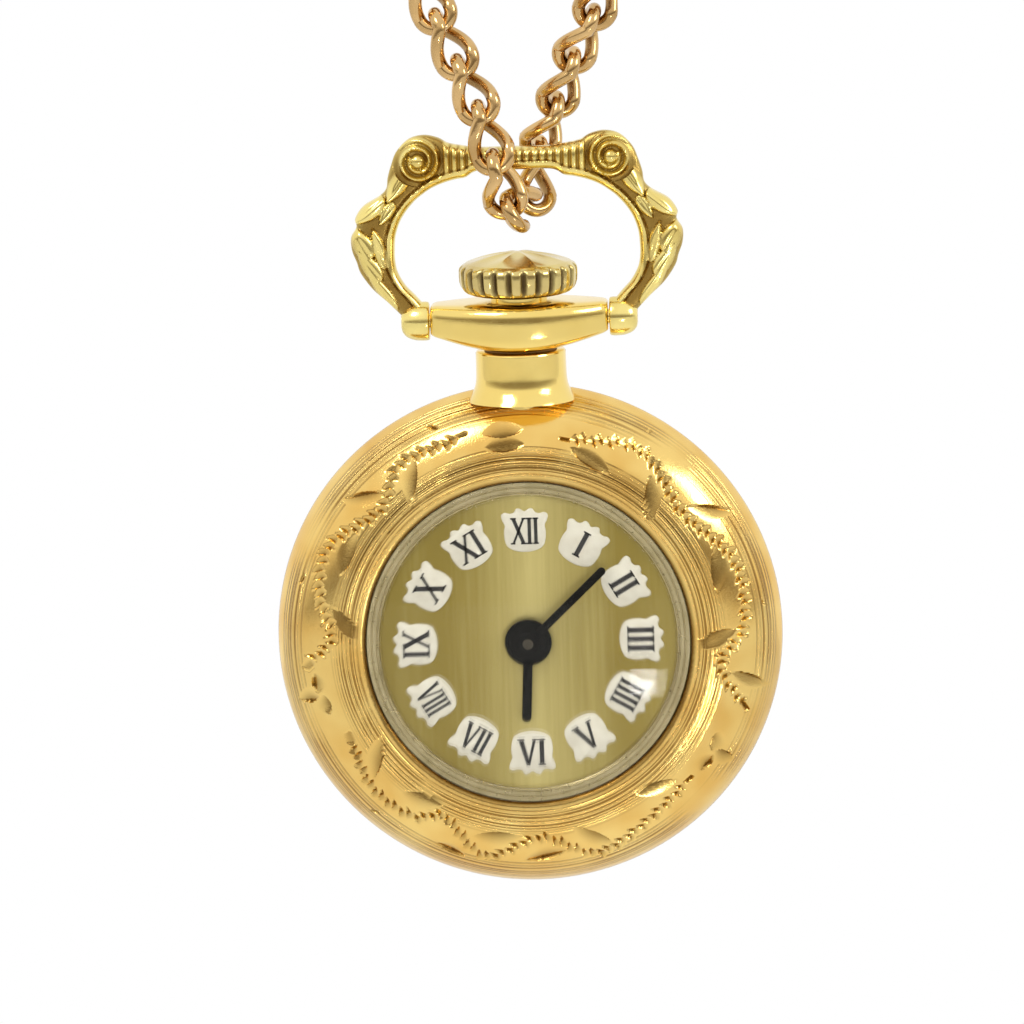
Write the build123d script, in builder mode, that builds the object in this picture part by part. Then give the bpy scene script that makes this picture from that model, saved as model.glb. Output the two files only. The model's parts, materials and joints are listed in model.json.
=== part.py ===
from build123d import *
import os
from math import atan2, cos, degrees, hypot, pi, radians, sin

# A lady's pendant watch on its chain: an engraved round case with a snap back, an ornate bow on a
# spindle-shaped yoke, a crown at twelve, a hand-wound lever movement and a twisted-link chain.
# Lengths are in millimetres. X points right, Z points up and the dial faces -Y.
# The origin lies midway between the two end rings that the chain hangs from.
# A place on the watch is given as u to the right and v up from the case centre, and w towards
# the viewer from the middle of the case, where the winding stem lies.

# Case. It closes round the movement, so its radius is worked out below
bar_drop = 9.45
case_wall = 0.55
case_swell_w = 2.0
case_swell_share = 0.87
seam_w = -0.8
seam_inset = 0.12
lip_width = 0.4
lip_rise = 0.55
lip_fall = 0.12
back_wall = 0.45
back_w = -2.9
back_flat_radius = 6.0
back_shoulder_w = -2.35
back_shoulder_share = 0.8
snap_depth = 0.4
snap_wall = 0.35
dome_steps = 6
fit_gap = 0.05
running_gap = 0.04
press_gap = 0.02

# Dial, crystal and hands
dial_step = 0.4
dial_overlap = 0.35
dial_w = 2.2
dial_thickness = 0.35
dial_bore = 0.8
dial_foot_radius = 0.3
dial_foot_length = 0.9
dial_foot_inset = 1.0
dial_foot_angles = (35, 215)
reflector_width = 0.65
reflector_height = 0.25
crystal_wall = 0.45
crystal_edge = 0.45
crystal_rise = 1.7
minute_hand_gap = 2.2
minute_hand_width = 0.46
minute_hand_angle = 46.5
minute_hand_lift = 0.38
hour_hand_gap = 1.45
hour_hand_width = 0.52
hour_hand_angle = 183
hour_hand_lift = 0.28
hand_thickness = 0.1
hand_boss_radius = 1.25
minute_boss_radius = 0.85
boss_height = 0.22
hand_point_share = 2.6
hand_boss_share = 0.7

# Pendant neck, yoke and crown
neck_radius = 2.4
neck_root_radius = 2.75
neck_sink = 0.8
neck_flare = 1.25
neck_height = 2.7
collar_radius = 1.95
collar_height = 0.45
tube_radius = 1.5
tube_bore = 0.62
tube_sink = 1.9
tube_rise = 0.2
yoke_height = 2.25
yoke_half_length = 4.7
yoke_half_depth = 2.9
yoke_end_depth = 1.15
yoke_round = 0.45
pivot_rise = 1.2
pivot_pin_radius = 0.4
pivot_pin_depth = 1.6
crown_radius = 3.15
crown_flute = 0.2
crown_flutes = 24
crown_lift = 0.32
crown_side_height = 1.55
crown_chamfer = 0.3
crown_dome_height = 0.7
crown_cavity_radius = 1.75
crown_cavity_depth = 0.35
crown_pull = 0.5

# Bow
bow_half_width = 7.6
bow_opening = 4.98
bow_bar = 1.3
bow_depth = 1.55
eye_radius = 1.05
eye_width = 1.5
eye_gap = 0.08
bow_sides = 8
scroll_radius = 1.2
scroll_depth = 1.9
scroll_shares = (0.65, 1.0)
bud_radius = 0.75
bud_depth = 1.7
bud_shares = ((1.05, 0.56), (0.99, 0.36), (0.89, 0.80))
bow_foot_share = 1.15
# Each row is a share of the half width, a share of the rise and a share of the bar's thickness
bow_shares = (
    (0.800, 0.15, 1.20),
    (0.940, 0.33, 1.60),
    (0.985, 0.53, 1.70),
    (0.925, 0.72, 1.55),
    (0.790, 0.89, 1.70),
    (0.550, 0.985, 1.35),
    (0.270, 0.995, 1.10),
)

# Chain of twisted links: where it hangs from its end rings, and between them the centre of the
# loop at the far end of each link
wire_radius = 0.36
link_half_width = 0.88
link_play = 0.1
link_twist = 90
link_sides = 6
link_end_angles = (-90, -60, -30, 0, 30, 60, 90)
ring_radius = 1.35
left_ring_place = (-4.7, 0.0, 0.0)
left_joints = (
    (-3.95, -0.35, -1.60),
    (-2.85, -0.85, -4.00),
    (-1.80, -1.35, -6.40),
    (-1.05, -1.95, -8.95),
)
bight_joints = (
    (-0.50, -1.50, -11.45),
    (0.30, 0.95, -12.00),
    (1.10, 2.10, -9.70),
)
right_joints = (
    (2.00, 1.60, -7.30),
    (3.00, 1.10, -4.90),
    (4.10, 0.50, -2.55),
)
right_ring_place = (5.1, 0.0, 0.0)
settling_steps = 40

# Movement: radii and layers
plate_margin = 0.6753
ring_width = 3.05
ring_gap = 0.86
ring_front_w = 1.5
ring_back_w = -0.7
ring_shoulder = 0.95
plate_front_w = 1.8
plate_back_w = 0.55
recess_w = 1.12
recess_radius = 3.4
recess_v = 1.7
keyless_half_width = 3.6
keyless_foot_v = 3.0
keyless_inset = 0.7
slot_half_width = 1.5
slot_foot_v = 3.95
bridge_front_w = -0.75
bridge_thickness = 0.5
bridge_inset = 0.2
foot_depth = 1.7
screw_inset = 0.85
inner_screw_place = (1.7, 2.6)
barrel_bridge_screw_angles = (44, 112)
train_bridge_screw_angles = (-25, -75)
balance_cock_screw_angle = 203
barrel_bridge_feet = ((24, 66), (104, 119))
train_bridge_feet = ((-42, -6), (-85, -66))
balance_cock_foot = (197, 214)
balance_cock_angles = (196, 214)
cock_head_angles = (250, 320, 20, 90)
# The outlines of the two bridges, as shares of the movement's radius with its clearance
barrel_bridge_shares = (
    (-1, -0.2023), (-0.1561, -0.2023), (0.0867, 0.1329), (1, 0.1329), (1, 1), (-1, 1),
)
train_bridge_shares = (
    (-0.1272, -0.2023), (0.1098, 0.1098), (1, 0.1098), (1, -0.6012), (0.3931, -1), (0.0116, -1),
    (0.0116, -0.4162),
)
winding_w = -1.3
winding_thickness = 0.25

# Movement: places, as an angle and a distance, and gears
barrel_angle = 155
third_angle = -21
fourth_angle = -94
escape_angle = -134
pallet_angle = 178
balance_angle = 179
setting_v = 3.2
crown_wheel_v = 4.4
barrel_teeth = 54
barrel_module = 0.1333
centre_leaves = 9
centre_teeth = 48
centre_module = 0.11
third_leaves = 6
third_teeth = 45
third_module = 0.09
fourth_leaves = 6
fourth_teeth = 60
fourth_module = 0.07
escape_leaves = 6
cannon_leaves = 10
minute_teeth = 30
minute_leaves = 8
hour_teeth = 32
motion_module = 0.1
setting_teeth = 16
crown_wheel_teeth = 24
ratchet_teeth = 36
winding_teeth = 12
tip_share = 0.95
root_share = 1.15
wheel_thickness = 0.12
wheel_rim = 0.35
wheel_hub = 0.45
wheel_arm = 0.22
wheel_arms = 4
arbor_radius = 0.09
centre_arbor_radius = 0.28
cannon_radius = 0.45
pivot_length = 0.25
centre_wheel_w = 0.38
barrel_front_w = 0.3
barrel_height = 0.92
barrel_gear_height = 0.25
barrel_wall = 0.12
barrel_inset = 0.32
barrel_arbor_radius = 0.55
barrel_pivot_radius = 0.3
centre_tip_rise = 0.2
spiral_steps = 12
third_wheel_w = -0.25
fourth_wheel_w = 0.12
escape_wheel_w = -0.12
pinion_height = 0.22
escape_teeth = 15
escape_radius = 1.3
escape_root_share = 0.72
pallet_reach = 1.65
balance_reach = 2.25
pallet_height = 0.14
pallet_width = 0.16
pallet_arm_share = 0.86
fork_length = 1.74
fork_half_width = 0.2
balance_radius = 2.75
balance_rim = 0.32
balance_w = -0.6
balance_height = 0.2
balance_arm = 0.3
staff_radius = 0.14
roller_radius = 0.5
roller_height = 0.1
impulse_pin_radius = 0.06
hairspring_w = -0.88
hairspring_height = 0.1
hairspring_wire = 0.06
hairspring_inner = 0.42
hairspring_outer = 1.75
hairspring_turns = 4
collet_radius = 0.36
stud_radius = 0.12
mainspring_turns = 3
mainspring_strip = 0.12

# Movement: keyless work, jewels and screws
stem_radius = 0.42
stem_square = 0.56
stem_pilot_radius = 0.2
stem_pilot_v = 3.35
stem_square_v = 3.97
stem_round_v = 5.7
groove_v = 6.95
groove_width = 0.3
groove_radius = 0.24
clutch_radius = 0.82
clutch_bore_gap = 0.03
clutch_v = 4.62
clutch_length = 1.05
clutch_groove_radius = 0.58
clutch_groove_width = 0.34
winding_pinion_v = 5.75
winding_pinion_length = 0.9
winding_pinion_radius = 1.27
winding_pinion_root = 1.08
setting_front_w = 1.4
setting_height = 0.68
lever_w = 1.38
lever_thickness = 0.18
lever_width = 0.62
setting_lever_place = (2.3, 6.9)
setting_pin_u = 0.36
clutch_lever_place = (-2.95, 4.9)
clutch_finger_u = -0.72
lever_pin_radius = 0.1
lever_pin_reach = 1.4
bearing_half_width = 1.3
bearing_length = 1.0
jewel_radius = 0.42
jewel_hole = 0.12
jewel_height = 0.22
fine_radius = 0.6
fine_sides = 12
screw_head_radius = 0.48
screw_head_height = 0.22
screw_shank_radius = 0.24
screw_slot = 0.14
crown_screw_length = 0.5
tooth_head_share = 0.12
tooth_root_share = 0.3
stone_clearance = 0.14
pallet_elbow_angle = 25
regulator_lean = 60
spring_foot_place = (-7.25, 0.9)
spring_tip_place = (-7.02, 4.5)
spring_foot_radius = 0.3
spring_leaf = 0.1
cannon_height = 0.26
minute_wheel_height = 0.16
hour_wheel_height = 0.16
cover_half_width = 3.4
cover_foot_v = 4.6
cover_top_v = 7.7
cover_thickness = 0.15
cover_post_places = ((-3.1, 7.3), (3.1, 4.9))
cover_post_radius = 0.3
wheel_post_radius = 0.15
pinion_top_w = 1.68
pilot_lug_size = 0.38
pilot_lug_v = 3.45
ratchet_screw_radius = 0.18
ratchet_screw_length = 0.6
click_place = (-6.45, 4.45)
click_radius = 0.42
click_height = 0.2
regulator_length = 1.9
regulator_width = 0.3
regulator_height = 0.12
cock_radius = 1.05
cock_w = -1.1
cock_thickness = 0.42
pallet_cock_w = -0.2
pallet_cock_thickness = 0.14
pallet_cock_length = 1.6
pallet_cock_width = 0.9

half_share = 0.5

# The movement is as wide as its barrel needs, and the dial, the case and the lip follow it
barrel_reach = barrel_module * (barrel_teeth + centre_leaves) / 2
barrel_tip_radius = barrel_module * (barrel_teeth / 2 + tip_share)
movement_radius = barrel_reach + barrel_tip_radius + plate_margin
bridge_radius = movement_radius - bridge_inset
screw_reach = bridge_radius - screw_inset
bearing_foot_v = movement_radius - bearing_length
keyless_top_v = movement_radius - keyless_inset
ring_outer_radius = movement_radius + fit_gap + ring_width
snap_radius = ring_outer_radius + ring_gap + snap_wall
case_radius = snap_radius + running_gap + case_wall
dial_radius = movement_radius + dial_step
dial_foot_reach = movement_radius - dial_foot_inset
lip_radius = dial_radius - dial_overlap
crystal_radius = lip_radius - fit_gap
view_radius = crystal_radius - reflector_width
minute_hand_length = view_radius - minute_hand_gap
hour_hand_length = minute_hand_length - hour_hand_gap

# Heights over the case centre, each from the one below it, and the drop to the case centre
tube_foot_v = case_radius - tube_sink
neck_root_v = case_radius - neck_sink
neck_top_v = neck_root_v + neck_height
yoke_foot_v = neck_top_v + collar_height
yoke_top_v = yoke_foot_v + yoke_height
tube_top_v = yoke_top_v + tube_rise
pivot_v = yoke_foot_v + pivot_rise
crown_foot_v = yoke_top_v + crown_lift
crown_side_v = crown_foot_v + crown_side_height
crown_top_v = crown_side_v + crown_dome_height
bow_rise = crown_top_v - pivot_v + bow_opening
case_drop = bar_drop + pivot_v + bow_rise

# What lies over the dial takes its height from the dial's face
lip_w = dial_w + lip_rise
crystal_w = dial_w + crystal_rise
hour_hand_w = dial_w + hour_hand_lift
minute_hand_w = hour_hand_w + minute_hand_lift
centre_tip_w = minute_hand_w + centre_tip_rise

os.makedirs("parts", exist_ok=True)
case_z = -case_drop
case_axis = Axis((0, 0, case_z), (0, 1, 0))
stem_axis = Axis((0, 0, case_z), (0, 0, -1))
# Radius to the right and w up, for what is turned about the axis of the case
turning = Plane(origin=(0, 0, case_z), x_dir=(1, 0, 0), z_dir=(0, 0, -1))


def facing(w, place=(0.0, 0.0)):
    """The plane that the viewer faces, at a depth w, centred on a place of the watch."""
    u, v = place
    return Plane(origin=(u, -w, case_z + v), x_dir=(1, 0, 0), z_dir=(0, -1, 0))


def level(v):
    """The level plane at a height v over the case centre, for what lies about the stem."""
    return Plane(origin=(0, 0, case_z + v))


def across(x, z):
    """The plane square to X at a point on the mid-plane of the bow."""
    return Plane(origin=(x, 0, z), x_dir=(0, 1, 0), z_dir=(1, 0, 0))


def polar(radius, angle):
    """A point at a radius and an angle in degrees."""
    return radius * cos(radians(angle)), radius * sin(radians(angle))


def moved(place, distance, angle):
    """The place at a distance and an angle from another."""
    du, dv = polar(distance, angle)
    return place[0] + du, place[1] + dv


def bearing(place, other):
    """The angle from one place to another."""
    return degrees(atan2(other[1] - place[1], other[0] - place[0]))


def spread(module, teeth, leaves):
    """The distance between the centres of two gears that mesh."""
    return module * (teeth + leaves) / 2


def meshed(angle, teeth, direction, leaves):
    """Where a gear has a tooth, if the gear that it meshes with has one at an angle."""
    share = (direction - angle) * teeth / 360
    return direction + 180 + (share + 0.5) * 360 / leaves


def toothed(teeth, module, angle):
    """The points of a gear with pointed teeth, one of them at an angle."""
    pitch_radius, step = module * teeth / 2, 360 / teeth
    points = []
    for number in range(teeth):
        points.append(polar(pitch_radius + tip_share * module, angle + number * step))
        points.append(polar(pitch_radius - root_share * module, angle + (number + 0.5) * step))
    return points


def dome_points(radius, rim_w, top_w):
    """Points of the round dome that rises from a rim to its top on the axis."""
    rise = top_w - rim_w
    ball = (radius**2 + rise**2) / (2 * rise)
    reaches = [radius * (dome_steps - n) / dome_steps for n in range(dome_steps + 1)]
    return [(reach, top_w - ball + (ball**2 - reach**2) ** half_share) for reach in reaches]


def chords(start, middle, end):
    """Points along the arc through three points, for a dome that is turned in a few cones."""
    curve = ThreePointArc(start, middle, end, mode=Mode.PRIVATE)
    return [curve @ (n / dome_steps) for n in range(dome_steps + 1)]


def finish(piece, name):
    """Labels a piece and writes its file."""
    piece.part.label = name
    export_step(piece.part, f"parts/{name}.step")


# Places of the arbors, each set at the meshing distance from the one before
centre_place = (0.0, 0.0)
barrel_place = moved(centre_place, spread(barrel_module, barrel_teeth, centre_leaves), barrel_angle)
third_place = moved(centre_place, spread(centre_module, centre_teeth, third_leaves), third_angle)
fourth_place = moved(third_place, spread(third_module, third_teeth, fourth_leaves), fourth_angle)
escape_place = moved(fourth_place, spread(fourth_module, fourth_teeth, escape_leaves), escape_angle)
pallet_place = moved(escape_place, pallet_reach, pallet_angle)
balance_place = moved(pallet_place, balance_reach, balance_angle)
setting_place = (0.0, setting_v)
crown_wheel_place = (0.0, crown_wheel_v)
bridge_back_w = bridge_front_w - bridge_thickness
pivot_z = case_z + pivot_v

# The minute wheel stands where it meshes with both the cannon pinion and the setting wheel
near = spread(motion_module, minute_teeth, cannon_leaves)
far = spread(motion_module, minute_teeth, setting_teeth)
minute_v = (near**2 - far**2 + setting_v**2) / (2 * setting_v)
minute_place = ((near**2 - minute_v**2) ** 0.5, minute_v)

# Case front: a domed bezel and middle in one, with the flared neck brazed to it
case_top = (case_radius, seam_w / 2)
bezel_arc = (case_radius * case_swell_share, case_swell_w)
lip_outer = lip_radius + lip_width
cavity_roof_w = dial_w - dial_thickness - fit_gap
back_radius = case_radius - seam_inset
shoulder = (case_radius * back_shoulder_share, back_shoulder_w)
with BuildPart() as case_front:
    with BuildSketch(turning):
        with BuildLine():
            Polyline(
                (back_radius, seam_w),
                *chords(case_top, bezel_arc, (lip_outer, lip_w)),
                (lip_radius, lip_w - lip_fall),
                (lip_radius, dial_w + fit_gap),
                (dial_radius + fit_gap, dial_w + fit_gap),
                (dial_radius + fit_gap, cavity_roof_w),
                (lip_outer + case_wall, cavity_roof_w),
                (bezel_arc[0] - case_wall * case_swell_share, bezel_arc[1] - case_wall),
                (case_radius - case_wall, seam_w / 2),
                (case_radius - case_wall, seam_w),
                (back_radius, seam_w),
            )
        make_face()
    revolve(axis=case_axis)
    with BuildSketch(facing(0)):
        with BuildLine():
            Polyline(
                (0, neck_root_v),
                (neck_root_radius, neck_root_v),
                (neck_root_radius, neck_root_v + case_wall),
                (neck_radius, neck_root_v + neck_flare),
                (neck_radius, neck_top_v),
                (0, neck_top_v),
                (0, neck_root_v),
            )
        make_face()
    revolve(axis=stem_axis)
    with BuildSketch(level(tube_foot_v)):
        Circle(tube_radius)
    extrude(amount=neck_top_v - tube_foot_v + fit_gap, mode=Mode.SUBTRACT)
    with BuildSketch(facing(seam_w)):
        Circle(back_radius + fit_gap)
    extrude(amount=-neck_root_radius, mode=Mode.SUBTRACT)
finish(case_front, "case_front")

# Case back: a thin domed shell with a flat centre and a rim that snaps inside the middle
with BuildPart() as case_back:
    with BuildSketch(turning):
        with BuildLine():
            Polyline(
                (0, back_w),
                *chords((back_flat_radius, back_w), shoulder, (back_radius, seam_w)),
                (snap_radius, seam_w),
                (snap_radius, seam_w + snap_depth),
                (snap_radius - snap_wall, seam_w + snap_depth),
                (snap_radius - snap_wall, seam_w),
                (shoulder[0] - back_wall, shoulder[1] + back_wall),
                (back_flat_radius, back_w + back_wall),
                (0, back_w + back_wall),
                (0, back_w),
            )
        make_face()
    revolve(axis=case_axis)
    with BuildSketch(level(tube_foot_v - case_wall)):
        Circle(tube_radius + fit_gap)
    extrude(amount=case_radius, mode=Mode.SUBTRACT)
    with BuildSketch(facing(seam_w, (0, case_radius))):
        Rectangle(2 * (neck_root_radius + fit_gap), 2 * (case_radius - tube_foot_v))
    extrude(amount=2 * snap_depth, mode=Mode.SUBTRACT)
finish(case_back, "case_back")

# Crystal: a domed acrylic glass, and the reflector ring that it stands on
reflector_w = dial_w + reflector_height
rim_w = reflector_w + crystal_edge
inner_rim_w = rim_w - crystal_wall / 2
inner_top_w = crystal_w - crystal_wall
with BuildPart() as crystal:
    with BuildSketch(turning):
        with BuildLine():
            Polyline(
                (view_radius, reflector_w),
                (crystal_radius, reflector_w),
                *dome_points(crystal_radius, rim_w, crystal_w),
                *reversed(dome_points(view_radius, inner_rim_w, inner_top_w)),
                (view_radius, reflector_w),
            )
        make_face()
    revolve(axis=case_axis)
finish(crystal, "crystal")

with BuildPart() as reflector_ring:
    with BuildSketch(facing(dial_w)):
        Circle(crystal_radius)
        Circle(view_radius, mode=Mode.SUBTRACT)
    extrude(amount=reflector_height)
finish(reflector_ring, "reflector_ring")

# Dial, with its two feet
with BuildPart() as dial:
    with BuildSketch(facing(dial_w - dial_thickness)):
        Circle(dial_radius)
        Circle(dial_bore, mode=Mode.SUBTRACT)
    extrude(amount=dial_thickness)
    for angle in dial_foot_angles:
        with BuildSketch(facing(dial_w - dial_thickness, polar(dial_foot_reach, angle))):
            Circle(dial_foot_radius)
        extrude(amount=-dial_foot_length)
finish(dial, "dial")


def hand_outline(length, width):
    """A baton hand that points up and narrows to its tip."""
    shoulder_v = length - hand_point_share * width
    return ((-width / 2, 0), (-width / 2, shoulder_v), (0, length), (width / 2, shoulder_v),
            (width / 2, 0))


def make_hand(w, length, width, angle, boss_radius, bore):
    """A hand at its angle from twelve, with a round boss and a bore."""
    with BuildPart() as hand:
        with BuildSketch(facing(w)):
            with Locations(Rotation(0, 0, -angle)):
                Polygon(*hand_outline(length, width), align=None)
            Circle(boss_radius)
        extrude(amount=hand_thickness)
        with BuildSketch(facing(w)):
            Circle(boss_radius * hand_boss_share)
        extrude(amount=boss_height)
        with BuildSketch(facing(w)):
            Circle(bore)
        extrude(amount=boss_height, mode=Mode.SUBTRACT)
    return hand


hour_pipe_radius = cannon_radius + running_gap + hand_thickness
finish(
    make_hand(hour_hand_w, hour_hand_length, hour_hand_width, hour_hand_angle,
              hand_boss_radius, hour_pipe_radius),
    "hour_hand",
)
finish(
    make_hand(minute_hand_w, minute_hand_length, minute_hand_width, minute_hand_angle,
              minute_boss_radius, centre_arbor_radius),
    "minute_hand",
)

# Pendant tube in the neck, a collar that leaves the dark groove under the yoke, and the yoke
with BuildPart() as pendant_tube:
    with BuildSketch(level(tube_foot_v)):
        Circle(tube_radius)
    extrude(amount=tube_top_v - tube_foot_v)
    with BuildSketch(level(neck_top_v)):
        Circle(collar_radius)
    extrude(amount=yoke_foot_v - neck_top_v)
    with BuildSketch(level(tube_foot_v)):
        Circle(tube_bore)
    extrude(amount=tube_top_v - tube_foot_v, mode=Mode.SUBTRACT)
finish(pendant_tube, "pendant_tube")

with BuildPart() as pendant_yoke:
    with BuildSketch(level(yoke_foot_v)):
        with BuildLine():
            ThreePointArc(
                (-yoke_half_length, -yoke_end_depth),
                (0, -yoke_half_depth),
                (yoke_half_length, -yoke_end_depth),
            )
            Line((yoke_half_length, -yoke_end_depth), (yoke_half_length, yoke_end_depth))
            ThreePointArc(
                (yoke_half_length, yoke_end_depth),
                (0, yoke_half_depth),
                (-yoke_half_length, yoke_end_depth),
            )
            Line((-yoke_half_length, yoke_end_depth), (-yoke_half_length, -yoke_end_depth))
        make_face()
    extrude(amount=yoke_height)
    chamfer(pendant_yoke.edges().group_by(Axis.Z)[0], length=yoke_round)
    chamfer(pendant_yoke.edges().group_by(Axis.Z)[-1], length=yoke_round)
    with BuildSketch(level(yoke_foot_v)):
        Circle(tube_radius)
    extrude(amount=yoke_height, mode=Mode.SUBTRACT)
    for side in (-1, 1):
        with BuildSketch(across(side * (yoke_half_length - pivot_pin_depth), pivot_z)):
            Circle(pivot_pin_radius + press_gap)
        extrude(amount=side * pivot_pin_depth, mode=Mode.SUBTRACT)
finish(pendant_yoke, "pendant_yoke")

# Crown: a fluted and chamfered knob with a domed top, hollow below to clear the tube
stem_top_v = crown_side_v + crown_dome_height / 2
crown_cap_radius = crown_radius - crown_chamfer
crown_cap_v = crown_side_v + crown_chamfer / 2
with BuildPart() as crown:
    with BuildSketch(facing(0)):
        with BuildLine():
            Polyline(
                (0, crown_foot_v),
                (crown_cap_radius, crown_foot_v),
                (crown_radius, crown_foot_v + crown_chamfer),
                (crown_radius, crown_side_v),
                *dome_points(crown_cap_radius, crown_cap_v, crown_top_v),
                (0, crown_foot_v),
            )
        make_face()
    revolve(axis=stem_axis)
    with BuildSketch(level(crown_foot_v)):
        with PolarLocations(crown_radius + crown_flute, crown_flutes):
            RegularPolygon(2 * crown_flute, 4, rotation=45, align=None)
    extrude(amount=crown_side_height, mode=Mode.SUBTRACT)
    with BuildSketch(level(crown_foot_v)):
        Circle(crown_cavity_radius)
    extrude(amount=crown_cavity_depth, mode=Mode.SUBTRACT)
    with BuildSketch(level(crown_foot_v)):
        Circle(stem_radius)
    extrude(amount=stem_top_v - crown_foot_v, mode=Mode.SUBTRACT)
finish(crown, "crown")

# Stem: round under the crown, grooved for the setting lever, square for the clutch, and a pilot
with BuildPart() as winding_stem:
    with BuildSketch(level(stem_round_v)):
        Circle(stem_radius)
    extrude(amount=stem_top_v - stem_round_v)
    with BuildSketch(level(stem_square_v)):
        Rectangle(stem_square, stem_square)
    extrude(amount=stem_round_v - stem_square_v)
    with BuildSketch(level(stem_pilot_v)):
        Circle(stem_pilot_radius)
    extrude(amount=stem_square_v - stem_pilot_v)
    with BuildSketch(level(groove_v - groove_width / 2)):
        Circle(stem_radius)
        Circle(groove_radius, mode=Mode.SUBTRACT)
    extrude(amount=groove_width, mode=Mode.SUBTRACT)
finish(winding_stem, "winding_stem")


def bow_sketch(place, slope, thickness):
    """A rounded section of the bow, square to the line that the bow follows."""
    with BuildSketch(Plane(origin=place, x_dir=(0, 1, 0), z_dir=slope)) as section:
        Polygon(
            *[
                (bow_depth / 2 * cos(2 * pi * n / bow_sides),
                 thickness / 2 * sin(2 * pi * n / bow_sides))
                for n in range(bow_sides)
            ],
            align=None,
        )
    return section.sketch


# Bow: a cast loop that swells at its shoulders, with scrolls, buds and two drilled eyes
eye_start = yoke_half_length + eye_gap
foot_place = (eye_start + eye_width / 2, 0, pivot_z, bow_foot_share * bow_bar)
half_places = [foot_place] + [
    (x * bow_half_width, 0, pivot_z + z * bow_rise, t * bow_bar) for x, z, t in bow_shares
]
top_place = (0, 0, pivot_z + bow_rise, bow_bar)
bow_places = (
    [(-x, y, z, t) for x, y, z, t in half_places] + [top_place] + half_places[::-1]
)
last = len(bow_places) - 1
bow_sections = []
for number, (x, y, z, thickness) in enumerate(bow_places):
    before, after = bow_places[max(number - 1, 0)], bow_places[min(number + 1, last)]
    slope = (after[0] - before[0], 0, after[2] - before[2])
    bow_sections.append(bow_sketch((x, y, z), slope, thickness))
scroll_x = scroll_shares[0] * bow_half_width
scroll_v = pivot_v + scroll_shares[1] * bow_rise
with BuildPart() as bow:
    loft(sections=bow_sections, ruled=True)
    for side in (-1, 1):
        with BuildSketch(facing(-scroll_depth / 2, (side * scroll_x, scroll_v))):
            RegularPolygon(scroll_radius, 2 * bow_sides)
        extrude(amount=scroll_depth)
        for x_share, z_share in bud_shares:
            bud_place = (side * x_share * bow_half_width, pivot_v + z_share * bow_rise)
            with BuildSketch(facing(-bud_depth / 2, bud_place)):
                RegularPolygon(bud_radius, bow_sides)
            extrude(amount=bud_depth)
        with BuildSketch(across(side * eye_start, pivot_z)):
            Circle(eye_radius)
        extrude(amount=side * eye_width)
        with BuildSketch(across(side * eye_start, pivot_z)):
            Circle(pivot_pin_radius)
        extrude(amount=side * eye_width, mode=Mode.SUBTRACT)
finish(bow, "bow")

with BuildPart() as bow_pins:
    for side in (-1, 1):
        with BuildSketch(across(side * (yoke_half_length - pivot_pin_depth + eye_gap), pivot_z)):
            Circle(pivot_pin_radius)
        extrude(amount=side * (pivot_pin_depth + eye_width))
finish(bow_pins, "bow_pins")


def flattened(vector, normal):
    """The direction of a vector once its part along a normal is taken out."""
    return (vector - normal * vector.dot(normal)).normalized()


def turned(vector, along, angle):
    """A vector turned about a direction."""
    return vector.rotate(Axis((0, 0, 0), along), angle)


def lay_links(joints, extra_twist):
    """Lays the links of the chain, each hooked square into the loop before it.

    The first and the last place are where the end rings' wire runs. Each link is given by the
    centres of its two loops, the sideways direction of the near one and its twist. The right
    leg shares out the extra twist that brings the last link square to its ring.
    """
    ring_normal = Vector(0, 1, 0)
    hook = link_half_width - 2 * wire_radius - link_play
    start, reach, normal, laid = Vector(*joints[0]), hook, ring_normal, []
    for number, joint in enumerate(joints[1:], start=1):
        ends = number == len(joints) - 1
        far = Vector(*joint)
        near = start
        for _ in range(settling_steps):
            along = (far - near).normalized()
            near = start + flattened(along, normal) * reach
            if ends:
                far = Vector(*joint) - flattened(along, ring_normal) * hook
        sideways = flattened(normal, along)
        twist = link_twist
        if number >= len(joints) - 1 - len(right_joints):
            twist += extra_twist
        if ends:
            wanted = flattened(ring_normal, along)
            twist = degrees(atan2(sideways.cross(wanted).dot(along), sideways.dot(wanted))) % 180
        laid.append((near, far, sideways, twist))
        start, reach = far, link_half_width + hook
        normal = along.cross(turned(sideways, along, twist))
    return laid


def add_link(near, far, sideways, twist):
    """A twisted link of six-sided wire, as two lofted halves that meet."""
    along = (far - near).normalized()
    places = []
    for centre, way, angles, turn in (
        (far, 1, link_end_angles, twist),
        ((near + far) / 2, 0, (90,), twist / 2),
        (near, -1, link_end_angles[::-1], 0),
        ((near + far) / 2, 0, (-90,), twist / 2),
    ):
        across_link = turned(sideways, along, turn)
        for angle in angles:
            shift, side = polar(link_half_width, angle)
            places.append((centre + along * way * shift + across_link * side,
                           along.cross(across_link)))
    count = len(places)
    sections = []
    for number, (place, normal) in enumerate(places):
        run = places[(number + 1) % count][0] - places[number - 1][0]
        with BuildSketch(Plane(origin=place, x_dir=flattened(normal, run.normalized()),
                               z_dir=run)) as section:
            RegularPolygon(wire_radius, link_sides)
        sections.append(section.sketch)
    half = count // 2
    loft(sections=sections[: half + 1], ruled=True)
    loft(sections=sections[half:] + sections[:1], ruled=True)


def make_links(laid):
    """The links of one length of the chain."""
    with BuildPart() as links:
        for link in laid:
            add_link(*link)
    return links


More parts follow.
